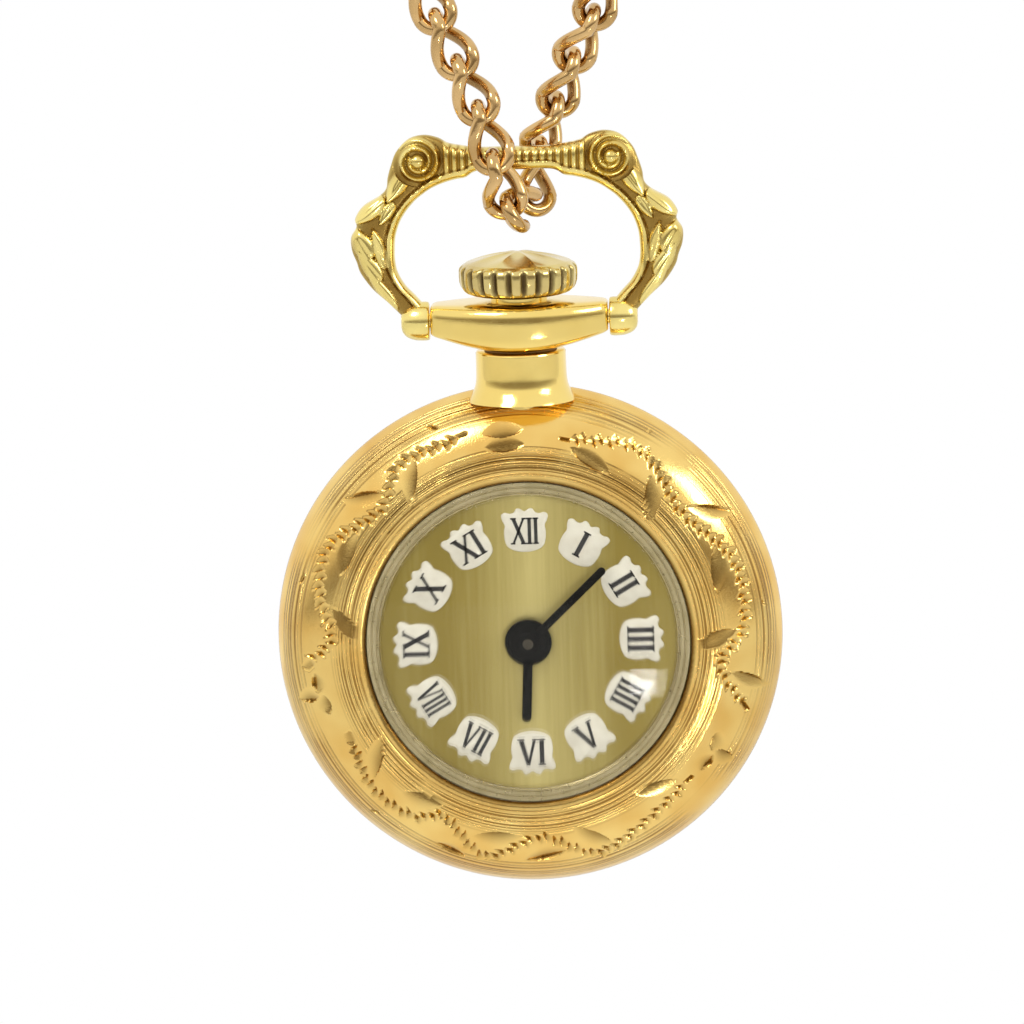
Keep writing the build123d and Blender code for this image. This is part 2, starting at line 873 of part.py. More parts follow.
# Chain: a left leg in front of the bow's bar, a bight below it, and a right leg behind it
chain_joints = (
    (left_ring_place,) + left_joints + bight_joints + right_joints + (right_ring_place,)
)
twist_left_over = lay_links(chain_joints, 0)[-1][3] - link_twist
chain_links = lay_links(chain_joints, twist_left_over / (len(right_joints) + 2))
bight_start, bight_end = len(left_joints), len(left_joints) + len(bight_joints)
finish(make_links(chain_links[:bight_start]), "chain_left_leg")
finish(make_links(chain_links[bight_start:bight_end]), "chain_bight")
finish(make_links(chain_links[bight_end:]), "chain_right_leg")

# The closed end rings that the chain hangs from
with BuildPart() as chain_end_rings:
    for place, (near, far, sideways, twist), way in (
        (left_ring_place, chain_links[0], -1),
        (right_ring_place, chain_links[-1], 1),
    ):
        outward = flattened((far - near) * way, Vector(0, 1, 0))
        with BuildSketch(Plane(origin=place, x_dir=outward, z_dir=outward.cross(Vector(0, 1, 0)))):
            RegularPolygon(wire_radius, link_sides)
        revolve(axis=Axis(Vector(*place) + outward * ring_radius, (0, 1, 0)))
finish(chain_end_rings, "chain_end_rings")


def spoked(place, w, height, points, rim_radius, angle):
    """Adds a flat wheel to the part that is being built, crossed out inside its rim."""
    with BuildSketch(facing(w, place)) as outline:
        Polygon(*points, align=None)
        if rim_radius:
            with BuildSketch(mode=Mode.SUBTRACT):
                Circle(rim_radius)
                Circle(wheel_hub, mode=Mode.SUBTRACT)
                with PolarLocations(0, wheel_arms, start_angle=angle):
                    Rectangle(2 * rim_radius, wheel_arm, mode=Mode.SUBTRACT)
    extrude(outline.sketch, amount=height)


def wheel(place, w, height, teeth, module, angle, crossed=True):
    """Adds a gear to the part that is being built."""
    rim_radius = module * teeth / 2 - root_share * module - wheel_rim if crossed else 0
    spoked(place, w, height, toothed(teeth, module, angle), rim_radius, angle)


def post(place, w, height, radius, mode=Mode.ADD):
    """Adds a round post to the part that is being built, or cuts one; a fine one has few sides."""
    with BuildSketch(facing(w, place)) as outline:
        if radius > fine_radius:
            Circle(radius)
        else:
            RegularPolygon(radius, fine_sides)
    extrude(outline.sketch, amount=height, mode=mode)


def hole(place, w, height, radius):
    """Cuts a round hole in the part that is being built."""
    post(place, w, height, radius, mode=Mode.SUBTRACT)


def sector_points(inner, outer, start, end):
    """The corners of a block between two radii and two angles of the movement."""
    middle = (start + end) / 2
    return [polar(inner, start), polar(outer, start), polar(outer, middle), polar(outer, end),
            polar(inner, end)]


def block(w, height, points, mode=Mode.ADD):
    """Adds a straight-sided block to the part that is being built, or cuts one from it."""
    with BuildSketch(facing(w)) as outline:
        Polygon(*points, align=None)
    extrude(outline.sketch, amount=height, mode=mode)


def box_points(half_width, low, high):
    """The corners of a box about the stem, seen from the front."""
    return ((-half_width, low), (half_width, low), (half_width, high), (-half_width, high))


# Places and angles of what the plates carry
train_places = (third_place, fourth_place, escape_place)
arbor_front_w = plate_back_w + pivot_length
arbor_back_w = bridge_front_w - pivot_length
barrel_bridge_screws = [polar(screw_reach, angle) for angle in barrel_bridge_screw_angles]
screw_places = {
    "barrel_bridge": barrel_bridge_screws + [inner_screw_place],
    "train_bridge": [polar(screw_reach, angle) for angle in train_bridge_screw_angles],
    "balance_cock": [polar(screw_reach, balance_cock_screw_angle)],
}

# Main plate: the disc that carries everything, recessed for the motion work and the keyless work
with BuildPart() as main_plate:
    post(centre_place, plate_back_w, plate_front_w - plate_back_w, movement_radius)
    hole((0, recess_v), recess_w, plate_front_w - recess_w, recess_radius)
    with BuildSketch(facing(recess_w, (0, (keyless_foot_v + keyless_top_v) / 2))):
        Rectangle(2 * keyless_half_width, keyless_top_v - keyless_foot_v)
    extrude(amount=plate_front_w - recess_w, mode=Mode.SUBTRACT)
    with BuildSketch(facing(plate_back_w, (0, (slot_foot_v + bearing_foot_v) / 2))):
        Rectangle(2 * slot_half_width, bearing_foot_v - slot_foot_v)
    extrude(amount=recess_w - plate_back_w, mode=Mode.SUBTRACT)
    block(bridge_front_w + fit_gap, plate_back_w - bridge_front_w - fit_gap, (
        (-bearing_half_width, bearing_foot_v), (bearing_half_width, bearing_foot_v),
        (bearing_half_width, bridge_radius - fit_gap), (-bearing_half_width, bridge_radius - fit_gap),
    ))
    with BuildSketch(level(bearing_foot_v)):
        Circle(stem_radius + running_gap)
    extrude(amount=movement_radius - bearing_foot_v, mode=Mode.SUBTRACT)
    hole(centre_place, plate_back_w, plate_front_w - plate_back_w, centre_arbor_radius + running_gap)
    hole(barrel_place, plate_back_w, pivot_length + fit_gap, barrel_pivot_radius + running_gap)
    pocket_w = setting_front_w - setting_height - running_gap
    hole(setting_place, pocket_w, recess_w - pocket_w,
         motion_module * (setting_teeth / 2 + tip_share) + fit_gap)
    post(setting_place, pocket_w, setting_front_w - pocket_w, wheel_post_radius)
    post(minute_place, recess_w, pinion_top_w - recess_w, wheel_post_radius)
    block(-pilot_lug_size, plate_back_w + pilot_lug_size, box_points(pilot_lug_size, pilot_lug_v,
                                                                  slot_foot_v - fit_gap))
    with BuildSketch(level(pilot_lug_v)):
        Circle(stem_pilot_radius + running_gap)
    extrude(amount=slot_foot_v - pilot_lug_v, mode=Mode.SUBTRACT)
    for place in train_places + (pallet_place, balance_place):
        hole(place, plate_back_w, jewel_height, jewel_radius)
        hole(place, plate_back_w, plate_front_w - plate_back_w, jewel_hole)
    for angle in dial_foot_angles:
        hole(polar(dial_foot_reach, angle), plate_back_w, plate_front_w - plate_back_w,
             dial_foot_radius + fit_gap)
    for places in screw_places.values():
        for place in places:
            hole(place, plate_back_w, plate_front_w - plate_back_w, screw_shank_radius)
finish(main_plate, "main_plate")

# Movement ring: holds the movement in the case, with a notch for the stem
with BuildPart() as movement_ring:
    with BuildSketch(turning):
        Polygon(
            (movement_radius + fit_gap, ring_back_w),
            (ring_outer_radius, ring_back_w),
            (ring_outer_radius, ring_front_w - ring_shoulder),
            (ring_outer_radius - ring_shoulder, ring_front_w),
            (movement_radius + fit_gap, ring_front_w),
            align=None,
        )
    revolve(axis=case_axis)
    with BuildSketch(level(movement_radius)):
        Circle(tube_radius + fit_gap)
    extrude(amount=ring_outer_radius - movement_radius + fit_gap, mode=Mode.SUBTRACT)
finish(movement_ring, "movement_ring")


outer = movement_radius + fit_gap
foot_inner = bridge_radius - foot_depth


def bridge(name, points, feet, front_w, thickness, jewels=(), bores=(), pockets=()):
    """A bridge over the train: a flat plate with feet, jewel seats, bores and pockets."""
    back_w = front_w - thickness
    with BuildPart() as plate:
        with BuildSketch(facing(back_w)):
            Circle(bridge_radius)
            Polygon(*points, align=None, mode=Mode.INTERSECT)
        extrude(amount=thickness)
        for foot in feet:
            block(front_w, plate_back_w - front_w, sector_points(foot_inner, bridge_radius, *foot))
        for place in jewels:
            hole(place, back_w, thickness, jewel_hole)
            hole(place, front_w - jewel_height, jewel_height, jewel_radius)
        for place, radius in bores:
            hole(place, back_w, thickness, radius)
        for place in screw_places[name]:
            hole(place, back_w, plate_back_w - back_w, screw_shank_radius)
            hole(place, back_w, screw_head_height / 2, screw_head_radius + fit_gap)
        for pocket in pockets:
            block(*pocket, mode=Mode.SUBTRACT)
    return plate


# Barrel bridge, train bridge and balance cock, parted by even gaps
clutch_depth = clutch_radius + running_gap
finish(
    bridge(
        "barrel_bridge",
        [(u * outer, v * outer) for u, v in barrel_bridge_shares],
        barrel_bridge_feet,
        bridge_front_w, bridge_thickness,
        bores=(
            (barrel_place, barrel_pivot_radius + running_gap),
            (crown_wheel_place, screw_shank_radius),
            (click_place, screw_shank_radius),
        ),
        pockets=(
            (bridge_back_w, bridge_thickness, box_points(slot_half_width, winding_pinion_v - fit_gap,
                                                         outer)),
            (-clutch_depth, clutch_depth + bridge_front_w,
             box_points(clutch_depth, slot_foot_v, winding_pinion_v)),
        ),
    ),
    "barrel_bridge",
)
finish(
    bridge(
        "train_bridge",
        [(u * outer, v * outer) for u, v in train_bridge_shares],
        train_bridge_feet,
        bridge_front_w, bridge_thickness,
        jewels=train_places,
        bores=((centre_place, arbor_radius + running_gap),),
    ),
    "train_bridge",
)
finish(
    bridge(
        "balance_cock",
        [polar(outer, angle) for angle in balance_cock_angles]
        + [moved(balance_place, cock_radius, angle) for angle in cock_head_angles],
        (balance_cock_foot,),
        cock_w, cock_thickness,
        bores=((balance_place, jewel_radius),),
    ),
    "balance_cock",
)

# Pallet cock: a bar over the pallet's arbor that stands on one foot
pallet_foot = moved(pallet_place, pallet_cock_length, -90)
with BuildPart() as pallet_cock:
    with BuildSketch(facing(pallet_cock_w - pallet_cock_thickness,
                            moved(pallet_place, pallet_cock_length / 2, -90))):
        SlotCenterToCenter(pallet_cock_length, pallet_cock_width, rotation=90)
    extrude(amount=pallet_cock_thickness)
    post(pallet_foot, pallet_cock_w, plate_back_w - pallet_cock_w, pallet_cock_width / 2)
    hole(pallet_place, pallet_cock_w - pallet_cock_thickness, pallet_cock_thickness,
         arbor_radius + running_gap)
finish(pallet_cock, "pallet_cock")


def jewel(place, w):
    """Adds one ring of synthetic ruby to the part that is being built."""
    with BuildSketch(facing(w, place)) as outline:
        RegularPolygon(jewel_radius, fine_sides)
        RegularPolygon(jewel_hole, fine_sides, mode=Mode.SUBTRACT)
    extrude(outline.sketch, amount=jewel_height)


with BuildPart() as plate_jewels:
    for place in train_places + (pallet_place, balance_place):
        jewel(place, plate_back_w)
finish(plate_jewels, "plate_jewels")

with BuildPart() as bridge_jewels:
    for place in train_places:
        jewel(place, bridge_front_w - jewel_height)
finish(bridge_jewels, "bridge_jewels")

with BuildPart() as shock_setting:
    setting_back_w = cock_w - cock_thickness - regulator_height
    post(balance_place, setting_back_w, cock_w - setting_back_w, jewel_radius)
    hole(balance_place, cock_w - cock_thickness / 2, cock_thickness / 2, jewel_hole)
finish(shock_setting, "shock_setting")


def screw(place, w, shank_length, shank_radius=screw_shank_radius):
    """Adds a slotted screw whose head lies behind a depth w to the part that is being built."""
    post(place, w - screw_head_height, screw_head_height, screw_head_radius)
    post(place, w, shank_length, shank_radius)
    with BuildSketch(facing(w - screw_head_height, place)) as slot:
        Rectangle(2 * screw_head_radius + fit_gap, screw_slot, rotation=45)
    extrude(slot.sketch, amount=screw_head_height / 2, mode=Mode.SUBTRACT)


with BuildPart() as bridge_screws:
    for name, front_w, thickness in (
        ("barrel_bridge", bridge_front_w, bridge_thickness),
        ("train_bridge", bridge_front_w, bridge_thickness),
        ("balance_cock", cock_w, cock_thickness),
    ):
        head_w = front_w - thickness + screw_head_height / 2
        for place in screw_places[name]:
            screw(place, head_w, plate_back_w + screw_shank_radius - head_w)
finish(bridge_screws, "bridge_screws")

# Winding work: barrel with its cover, arbor and spring, ratchet and crown wheel, click
drum_radius = barrel_module * barrel_teeth / 2 - barrel_inset
drum_back_w = barrel_front_w - barrel_height
gear_back_w = barrel_front_w - barrel_gear_height
centre_angle = bearing(barrel_place, centre_place)
with BuildPart() as barrel:
    wheel(barrel_place, gear_back_w, barrel_gear_height, barrel_teeth, barrel_module, centre_angle,
          crossed=False)
    post(barrel_place, drum_back_w + barrel_wall, gear_back_w - drum_back_w - barrel_wall,
         drum_radius)
    hole(barrel_place, drum_back_w + barrel_wall, barrel_height - 2 * barrel_wall,
         drum_radius - barrel_wall)
    hole(barrel_place, gear_back_w, barrel_gear_height, barrel_pivot_radius + running_gap)
finish(barrel, "barrel")

with BuildPart() as barrel_cover:
    post(barrel_place, drum_back_w, barrel_wall, drum_radius)
    hole(barrel_place, drum_back_w, barrel_wall, barrel_pivot_radius + running_gap)
finish(barrel_cover, "barrel_cover")

core_w = drum_back_w + barrel_wall + running_gap
core_height = barrel_height - 2 * (barrel_wall + running_gap)
with BuildPart() as barrel_arbor:
    post(barrel_place, core_w, core_height, barrel_arbor_radius)
    post(barrel_place, winding_w - winding_thickness,
         plate_back_w + pivot_length - winding_w + winding_thickness, barrel_pivot_radius)
    hole(barrel_place, winding_w - winding_thickness, ratchet_screw_length, ratchet_screw_radius)
finish(barrel_arbor, "barrel_arbor")


def spiral(place, w, height, strip, inner, outside, turns):
    """Adds a flat spiral spring to the part that is being built."""
    count = turns * spiral_steps
    points = []
    for edge, steps in ((0, range(count + 1)), (strip, range(count, -1, -1))):
        for n in steps:
            points.append(polar(inner + edge + (outside - strip - inner) * n / count,
                                360 * n / spiral_steps))
    with BuildSketch(facing(w, place)) as outline:
        Polygon(*points, align=None)
    extrude(outline.sketch, amount=height)


with BuildPart() as mainspring:
    spiral(barrel_place, core_w + running_gap, core_height - 2 * running_gap, mainspring_strip,
           barrel_arbor_radius + running_gap, drum_radius - barrel_wall - running_gap,
           mainspring_turns)
finish(mainspring, "mainspring")

ratchet_spread = hypot(barrel_place[0] - crown_wheel_place[0],
                       barrel_place[1] - crown_wheel_place[1])
ratchet_module = 2 * ratchet_spread / (crown_wheel_teeth + ratchet_teeth)
ratchet_direction = bearing(barrel_place, crown_wheel_place)
ratchet_back_w = winding_w - winding_thickness
with BuildPart() as ratchet_wheel:
    wheel(barrel_place, ratchet_back_w, winding_thickness, ratchet_teeth, ratchet_module,
          ratchet_direction, crossed=False)
    hole(barrel_place, ratchet_back_w, winding_thickness, barrel_pivot_radius)
finish(ratchet_wheel, "ratchet_wheel")

with BuildPart() as ratchet_screw:
    screw(barrel_place, ratchet_back_w, ratchet_screw_length, ratchet_screw_radius)
finish(ratchet_screw, "ratchet_screw")

with BuildPart() as crown_wheel:
    wheel(crown_wheel_place, ratchet_back_w, winding_thickness, crown_wheel_teeth, ratchet_module,
          meshed(ratchet_direction, ratchet_teeth, ratchet_direction, crown_wheel_teeth),
          crossed=False)
    hole(crown_wheel_place, ratchet_back_w, winding_thickness, screw_shank_radius + running_gap)
finish(crown_wheel, "crown_wheel")

with BuildPart() as crown_wheel_screw:
    screw(crown_wheel_place, ratchet_back_w - running_gap, crown_screw_length)
finish(crown_wheel_screw, "crown_wheel_screw")

# Click, held off the ratchet's teeth by the running gap, with its spring and screw
click_direction = bearing(click_place, barrel_place)
ratchet_tip = ratchet_module * (ratchet_teeth / 2 + tip_share)
click_reach = hypot(click_place[0] - barrel_place[0], click_place[1] - barrel_place[1]) - ratchet_tip
click_back_w = ratchet_back_w + fit_gap
with BuildPart() as click:
    post(click_place, click_back_w, click_height, click_radius)
    block(click_back_w, click_height, (
        moved(click_place, click_radius, click_direction - 90),
        moved(click_place, click_reach - running_gap, click_direction),
        moved(click_place, click_radius, click_direction + 90),
    ))
    hole(click_place, click_back_w, click_height, screw_shank_radius + running_gap)
finish(click, "click")

with BuildPart() as click_screw:
    screw(click_place, click_back_w - running_gap, bridge_front_w - click_back_w)
finish(click_screw, "click_screw")

# Going train: each arbor carries a wheel and the pinion that the wheel before drives
with BuildPart() as centre_wheel:
    wheel(centre_place, centre_wheel_w, wheel_thickness, centre_teeth, centre_module, third_angle)
    wheel(centre_place, gear_back_w - running_gap, centre_wheel_w - gear_back_w + running_gap,
          centre_leaves, barrel_module, meshed(centre_angle, barrel_teeth, centre_angle,
                                               centre_leaves), crossed=False)
    post(centre_place, gear_back_w - running_gap, centre_tip_w - gear_back_w + running_gap,
         centre_arbor_radius)
    post(centre_place, arbor_back_w, gear_back_w - arbor_back_w, arbor_radius)
finish(centre_wheel, "centre_wheel")


def train_wheel(place, wheel_w, teeth, module, angle, pinion_w, leaves, pinion_module, pinion_angle):
    """An arbor between plate and bridge with a spoked wheel and a pinion."""
    with BuildPart() as arbor:
        wheel(place, wheel_w, wheel_thickness, teeth, module, angle)
        wheel(place, pinion_w, pinion_height, leaves, pinion_module, pinion_angle, crossed=False)
        post(place, arbor_back_w, arbor_front_w - arbor_back_w, arbor_radius)
    return arbor


finish(
    train_wheel(third_place, third_wheel_w, third_teeth, third_module, fourth_angle,
                centre_wheel_w - (pinion_height - wheel_thickness) / 2, third_leaves, centre_module,
                meshed(third_angle, centre_teeth, third_angle, third_leaves)),
    "third_wheel",
)
finish(
    train_wheel(fourth_place, fourth_wheel_w, fourth_teeth, fourth_module, escape_angle,
                third_wheel_w - (pinion_height - wheel_thickness) / 2, fourth_leaves, third_module,
                meshed(fourth_angle, third_teeth, fourth_angle, fourth_leaves)),
    "fourth_wheel",
)

# Escapement: a club-toothed escape wheel, the pallet fork, the balance and its hairspring
escape_step = 360 / escape_teeth
escape_points = []
for number in range(escape_teeth):
    escape_points.append(polar(escape_radius, number * escape_step))
    escape_points.append(polar(escape_radius, (number + tooth_head_share) * escape_step))
    escape_points.append(
        polar(escape_radius * escape_root_share, (number + tooth_root_share) * escape_step)
    )
with BuildPart() as escape_wheel:
    spoked(escape_place, escape_wheel_w, wheel_thickness, escape_points,
           escape_radius * escape_root_share - wheel_rim / 2, 0)
    wheel(escape_place, fourth_wheel_w - (pinion_height - wheel_thickness) / 2, pinion_height,
          escape_leaves, fourth_module,
          meshed(escape_angle, fourth_teeth, escape_angle, escape_leaves), crossed=False)
    post(escape_place, arbor_back_w, arbor_front_w - arbor_back_w, arbor_radius)
finish(escape_wheel, "escape_wheel")

# The stones stand just off the circle of the escape wheel's teeth
towards_escape, towards_balance = pallet_angle + 180, balance_angle
stone_reach = (pallet_reach**2 - escape_radius**2) ** 0.5
stone_spread = degrees(atan2(escape_radius, stone_reach))
pallet_w = escape_wheel_w - (pallet_height - wheel_thickness) / 2
with BuildPart() as pallet_fork:
    for side in (-1, 1):
        stone = moved(pallet_place, stone_reach, towards_escape + side * stone_spread)
        stone = moved(stone, stone_clearance, towards_escape + side * (stone_spread + 90))
        elbow = moved(pallet_place, stone_reach * pallet_arm_share,
                      towards_escape + side * (stone_spread + pallet_elbow_angle))
        block(pallet_w, pallet_height, (
            moved(pallet_place, pallet_width, towards_escape),
            stone,
            moved(stone, pallet_width, towards_escape + side * (stone_spread + 90)),
            elbow,
            moved(pallet_place, pallet_width, towards_balance),
        ))
    tip = moved(pallet_place, fork_length, towards_balance)
    block(pallet_w, pallet_height, (
        moved(pallet_place, pallet_width / 2, towards_balance - 90),
        moved(tip, fork_half_width, towards_balance - 90),
        moved(tip, fork_half_width, towards_balance + 90),
        moved(pallet_place, pallet_width / 2, towards_balance + 90),
    ))
    hole(moved(tip, impulse_pin_radius, towards_balance), pallet_w, pallet_height,
         2 * impulse_pin_radius)
    post(pallet_place, pallet_cock_w - pallet_cock_thickness,
         arbor_front_w - pallet_cock_w + pallet_cock_thickness, arbor_radius)
finish(pallet_fork, "pallet_fork")

roller_w = pallet_w - roller_height - running_gap
with BuildPart() as balance_wheel:
    with BuildSketch(facing(balance_w, balance_place)):
        Circle(balance_radius)
        Circle(balance_radius - balance_rim, mode=Mode.SUBTRACT)
        Rectangle(2 * balance_radius - balance_rim, balance_arm)
        Circle(wheel_hub)
    extrude(amount=balance_height)
    post(balance_place, roller_w, roller_height, roller_radius)
    post(moved(balance_place, roller_radius - 2 * impulse_pin_radius, balance_angle + 180),
         roller_w, roller_height + pallet_height + running_gap, impulse_pin_radius)
    post(balance_place, cock_w + running_gap, plate_back_w - cock_w - 2 * running_gap, staff_radius)
    post(balance_place, cock_w - pivot_length + fit_gap,
         arbor_front_w - cock_w + pivot_length - fit_gap, arbor_radius)
    post(balance_place, hairspring_w, hairspring_height, collet_radius)
finish(balance_wheel, "balance_wheel")

with BuildPart() as hairspring:
    spiral(balance_place, hairspring_w, hairspring_height, hairspring_wire, hairspring_inner,
           hairspring_outer, hairspring_turns)
    post(moved(balance_place, hairspring_outer - hairspring_wire / 2, 0),
         cock_w + running_gap, hairspring_w + hairspring_height - cock_w - running_gap, stud_radius)
finish(hairspring, "hairspring")

regulator_w = cock_w - cock_thickness - regulator_height
regulator_direction = balance_angle + regulator_lean
with BuildPart() as regulator:
    post(balance_place, regulator_w, regulator_height, jewel_radius + 2 * regulator_width / 2)
    block(regulator_w, regulator_height, (
        moved(balance_place, regulator_width / 2, regulator_direction - 90),
        moved(balance_place, regulator_length, regulator_direction),
        moved(balance_place, regulator_width / 2, regulator_direction + 90),
    ))
    hole(balance_place, regulator_w, regulator_height, jewel_radius + running_gap)
finish(regulator, "regulator")

# Click spring: a leaf from its foot on the barrel bridge to just behind the click
with BuildPart() as click_spring:
    post(spring_foot_place, click_back_w, click_height, spring_foot_radius)
    leaf_angle = bearing(spring_foot_place, spring_tip_place)
    block(click_back_w, click_height, (
        moved(spring_foot_place, spring_leaf / 2, leaf_angle - 90),
        moved(spring_tip_place, spring_leaf / 2, leaf_angle - 90),
        moved(spring_tip_place, spring_leaf / 2, leaf_angle + 90),
        moved(spring_foot_place, spring_leaf / 2, leaf_angle + 90),
    ))
finish(click_spring, "click_spring")

# Motion work under the dial
cannon_w = recess_w + fit_gap
minute_tooth_angle = bearing(centre_place, minute_place)
with BuildPart() as cannon_pinion:
    wheel(centre_place, cannon_w, cannon_height, cannon_leaves, motion_module, minute_tooth_angle,
          crossed=False)
    post(centre_place, cannon_w + cannon_height, minute_hand_w - cannon_w - cannon_height,
         cannon_radius)
    hole(centre_place, cannon_w, minute_hand_w - cannon_w, centre_arbor_radius + press_gap)
finish(cannon_pinion, "cannon_pinion")

minute_wheel_angle = meshed(minute_tooth_angle, cannon_leaves, minute_tooth_angle, minute_teeth)
with BuildPart() as minute_wheel:
    wheel(minute_place, cannon_w + running_gap, minute_wheel_height, minute_teeth, motion_module,
          minute_wheel_angle, crossed=False)
    pinion_w = cannon_w + running_gap + minute_wheel_height
    wheel(minute_place, pinion_w, pinion_top_w - pinion_w, minute_leaves, motion_module,
          minute_tooth_angle + 180, crossed=False)
    hole(minute_place, cannon_w, pinion_top_w - cannon_w, wheel_post_radius + running_gap)
finish(minute_wheel, "minute_wheel")

hour_wheel_w = cannon_w + cannon_height + running_gap
with BuildPart() as hour_wheel:
    wheel(centre_place, hour_wheel_w, hour_wheel_height, hour_teeth, motion_module,
          minute_tooth_angle + 180 / hour_teeth, crossed=False)
    post(centre_place, hour_wheel_w, hour_hand_w + hand_thickness - hour_wheel_w, hour_pipe_radius)
    hole(centre_place, hour_wheel_w, hour_hand_w + hand_thickness - hour_wheel_w,
         cannon_radius + running_gap)
finish(hour_wheel, "hour_wheel")

with BuildPart() as setting_wheel:
    setting_direction = bearing(minute_place, setting_place)
    wheel(setting_place, setting_front_w - setting_height, setting_height, setting_teeth,
          motion_module, meshed(minute_wheel_angle, minute_teeth, setting_direction, setting_teeth),
          crossed=False)
    hole(setting_place, setting_front_w - setting_height, setting_height,
         wheel_post_radius + running_gap)
finish(setting_wheel, "setting_wheel")


# Keyless work: the pinion and the clutch on the stem, two levers and the bridge over them
def ring_points(count, tip, root):
    """The corners of a ring of teeth about the stem."""
    points = []
    for number in range(count):
        points.append(polar(tip, number * 360 / count))
        points.append(polar(root, (number + half_share) * 360 / count))
    return points


with BuildPart() as winding_pinion:
    with BuildSketch(level(winding_pinion_v)):
        Polygon(*ring_points(winding_teeth, winding_pinion_radius, winding_pinion_root), align=None)
        Circle(stem_radius + running_gap, mode=Mode.SUBTRACT)
    extrude(amount=winding_pinion_length)
finish(winding_pinion, "winding_pinion")

with BuildPart() as clutch:
    with BuildSketch(level(clutch_v)):
        Polygon(*ring_points(winding_teeth, clutch_radius, clutch_groove_radius), align=None)
    extrude(amount=clutch_length)
    groove_low_v = clutch_v + (clutch_length - clutch_groove_width) / 2
    with BuildSketch(level(groove_low_v)):
        Circle(clutch_radius)
        Circle(clutch_groove_radius, mode=Mode.SUBTRACT)
    extrude(amount=clutch_groove_width, mode=Mode.SUBTRACT)
    with BuildSketch(level(clutch_v)):
        Rectangle(stem_square + 2 * clutch_bore_gap, stem_square + 2 * clutch_bore_gap)
    extrude(amount=clutch_length, mode=Mode.SUBTRACT)
finish(clutch, "clutch")


def lever(pivot, pin_place, name, tail):
    """A flat lever on a pivot, with a round pin that reaches down to the stem."""
    way = bearing(pivot, pin_place)
    with BuildPart() as piece:
        post(pivot, lever_w, lever_thickness, lever_width / 2)
        post(pin_place, lever_w, lever_thickness, lever_width / 3)
        block(lever_w, lever_thickness, (
            moved(pivot, lever_width / 2, way - 90),
            moved(pin_place, lever_width / 3, way - 90),
            moved(pin_place, lever_width / 3, way + 90),
            moved(pivot, lever_width / 2, way + 90),
            moved(pivot, tail, way + 180),
        ))
        post(pin_place, lever_w - lever_pin_reach, lever_pin_reach, lever_pin_radius)
        hole(pivot, lever_w, lever_thickness, wheel_post_radius + running_gap)
    finish(piece, name)


lever(setting_lever_place, (setting_pin_u, groove_v), "setting_lever", lever_width / 2)
lever(clutch_lever_place, (clutch_finger_u, clutch_v + clutch_length / 2), "clutch_lever",
      lever_width / 2)

cover_w = lever_w + lever_thickness + running_gap
with BuildPart() as setting_bridge:
    block(cover_w, cover_thickness, box_points(cover_half_width, cover_foot_v, cover_top_v))
    for place in (setting_lever_place, clutch_lever_place):
        post(place, recess_w, cover_w - recess_w, wheel_post_radius)
    for place in cover_post_places:
        post(place, recess_w, cover_w - recess_w, cover_post_radius)
finish(setting_bridge, "setting_bridge")
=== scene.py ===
"""A lady's pendant watch on a chain of twisted links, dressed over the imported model.

Lengths are in millimetres until a mesh is made. A place on the watch is u to the right and v up
from the middle of the case, and w towards the viewer from the level of the winding stem.
"""

from __future__ import annotations

import json
import logging
import math
from dataclasses import dataclass, field
from enum import Enum
from typing import Sequence

import bmesh
import bpy
import numpy as np
from mathutils import Matrix, Vector

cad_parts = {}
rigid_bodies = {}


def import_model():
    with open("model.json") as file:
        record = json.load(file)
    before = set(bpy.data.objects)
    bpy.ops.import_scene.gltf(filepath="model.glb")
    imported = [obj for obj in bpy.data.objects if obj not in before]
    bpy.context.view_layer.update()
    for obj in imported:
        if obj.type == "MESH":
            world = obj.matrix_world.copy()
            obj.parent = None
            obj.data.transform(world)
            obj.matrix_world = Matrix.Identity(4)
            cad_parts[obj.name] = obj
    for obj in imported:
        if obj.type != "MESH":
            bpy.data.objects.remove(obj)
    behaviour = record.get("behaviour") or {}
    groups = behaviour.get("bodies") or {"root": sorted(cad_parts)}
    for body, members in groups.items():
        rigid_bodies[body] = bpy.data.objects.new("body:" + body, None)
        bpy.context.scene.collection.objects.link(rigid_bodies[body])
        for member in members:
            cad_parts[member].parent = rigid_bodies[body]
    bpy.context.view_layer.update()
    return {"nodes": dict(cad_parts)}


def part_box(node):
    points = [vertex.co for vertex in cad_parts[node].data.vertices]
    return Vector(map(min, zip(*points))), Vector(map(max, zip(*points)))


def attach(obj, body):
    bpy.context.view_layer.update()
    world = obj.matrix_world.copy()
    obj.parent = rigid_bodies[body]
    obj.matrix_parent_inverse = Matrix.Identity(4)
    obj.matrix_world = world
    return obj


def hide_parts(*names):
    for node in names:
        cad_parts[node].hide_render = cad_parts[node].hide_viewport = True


LOG = logging.getLogger("pendant_watch")
MM = 0.001
CASE_Z = -35.1
Array = np.ndarray


class Side(Enum):
    """The two sides of the watch, by the sign of their X."""

    LEFT = -1
    RIGHT = 1


# Shader tools


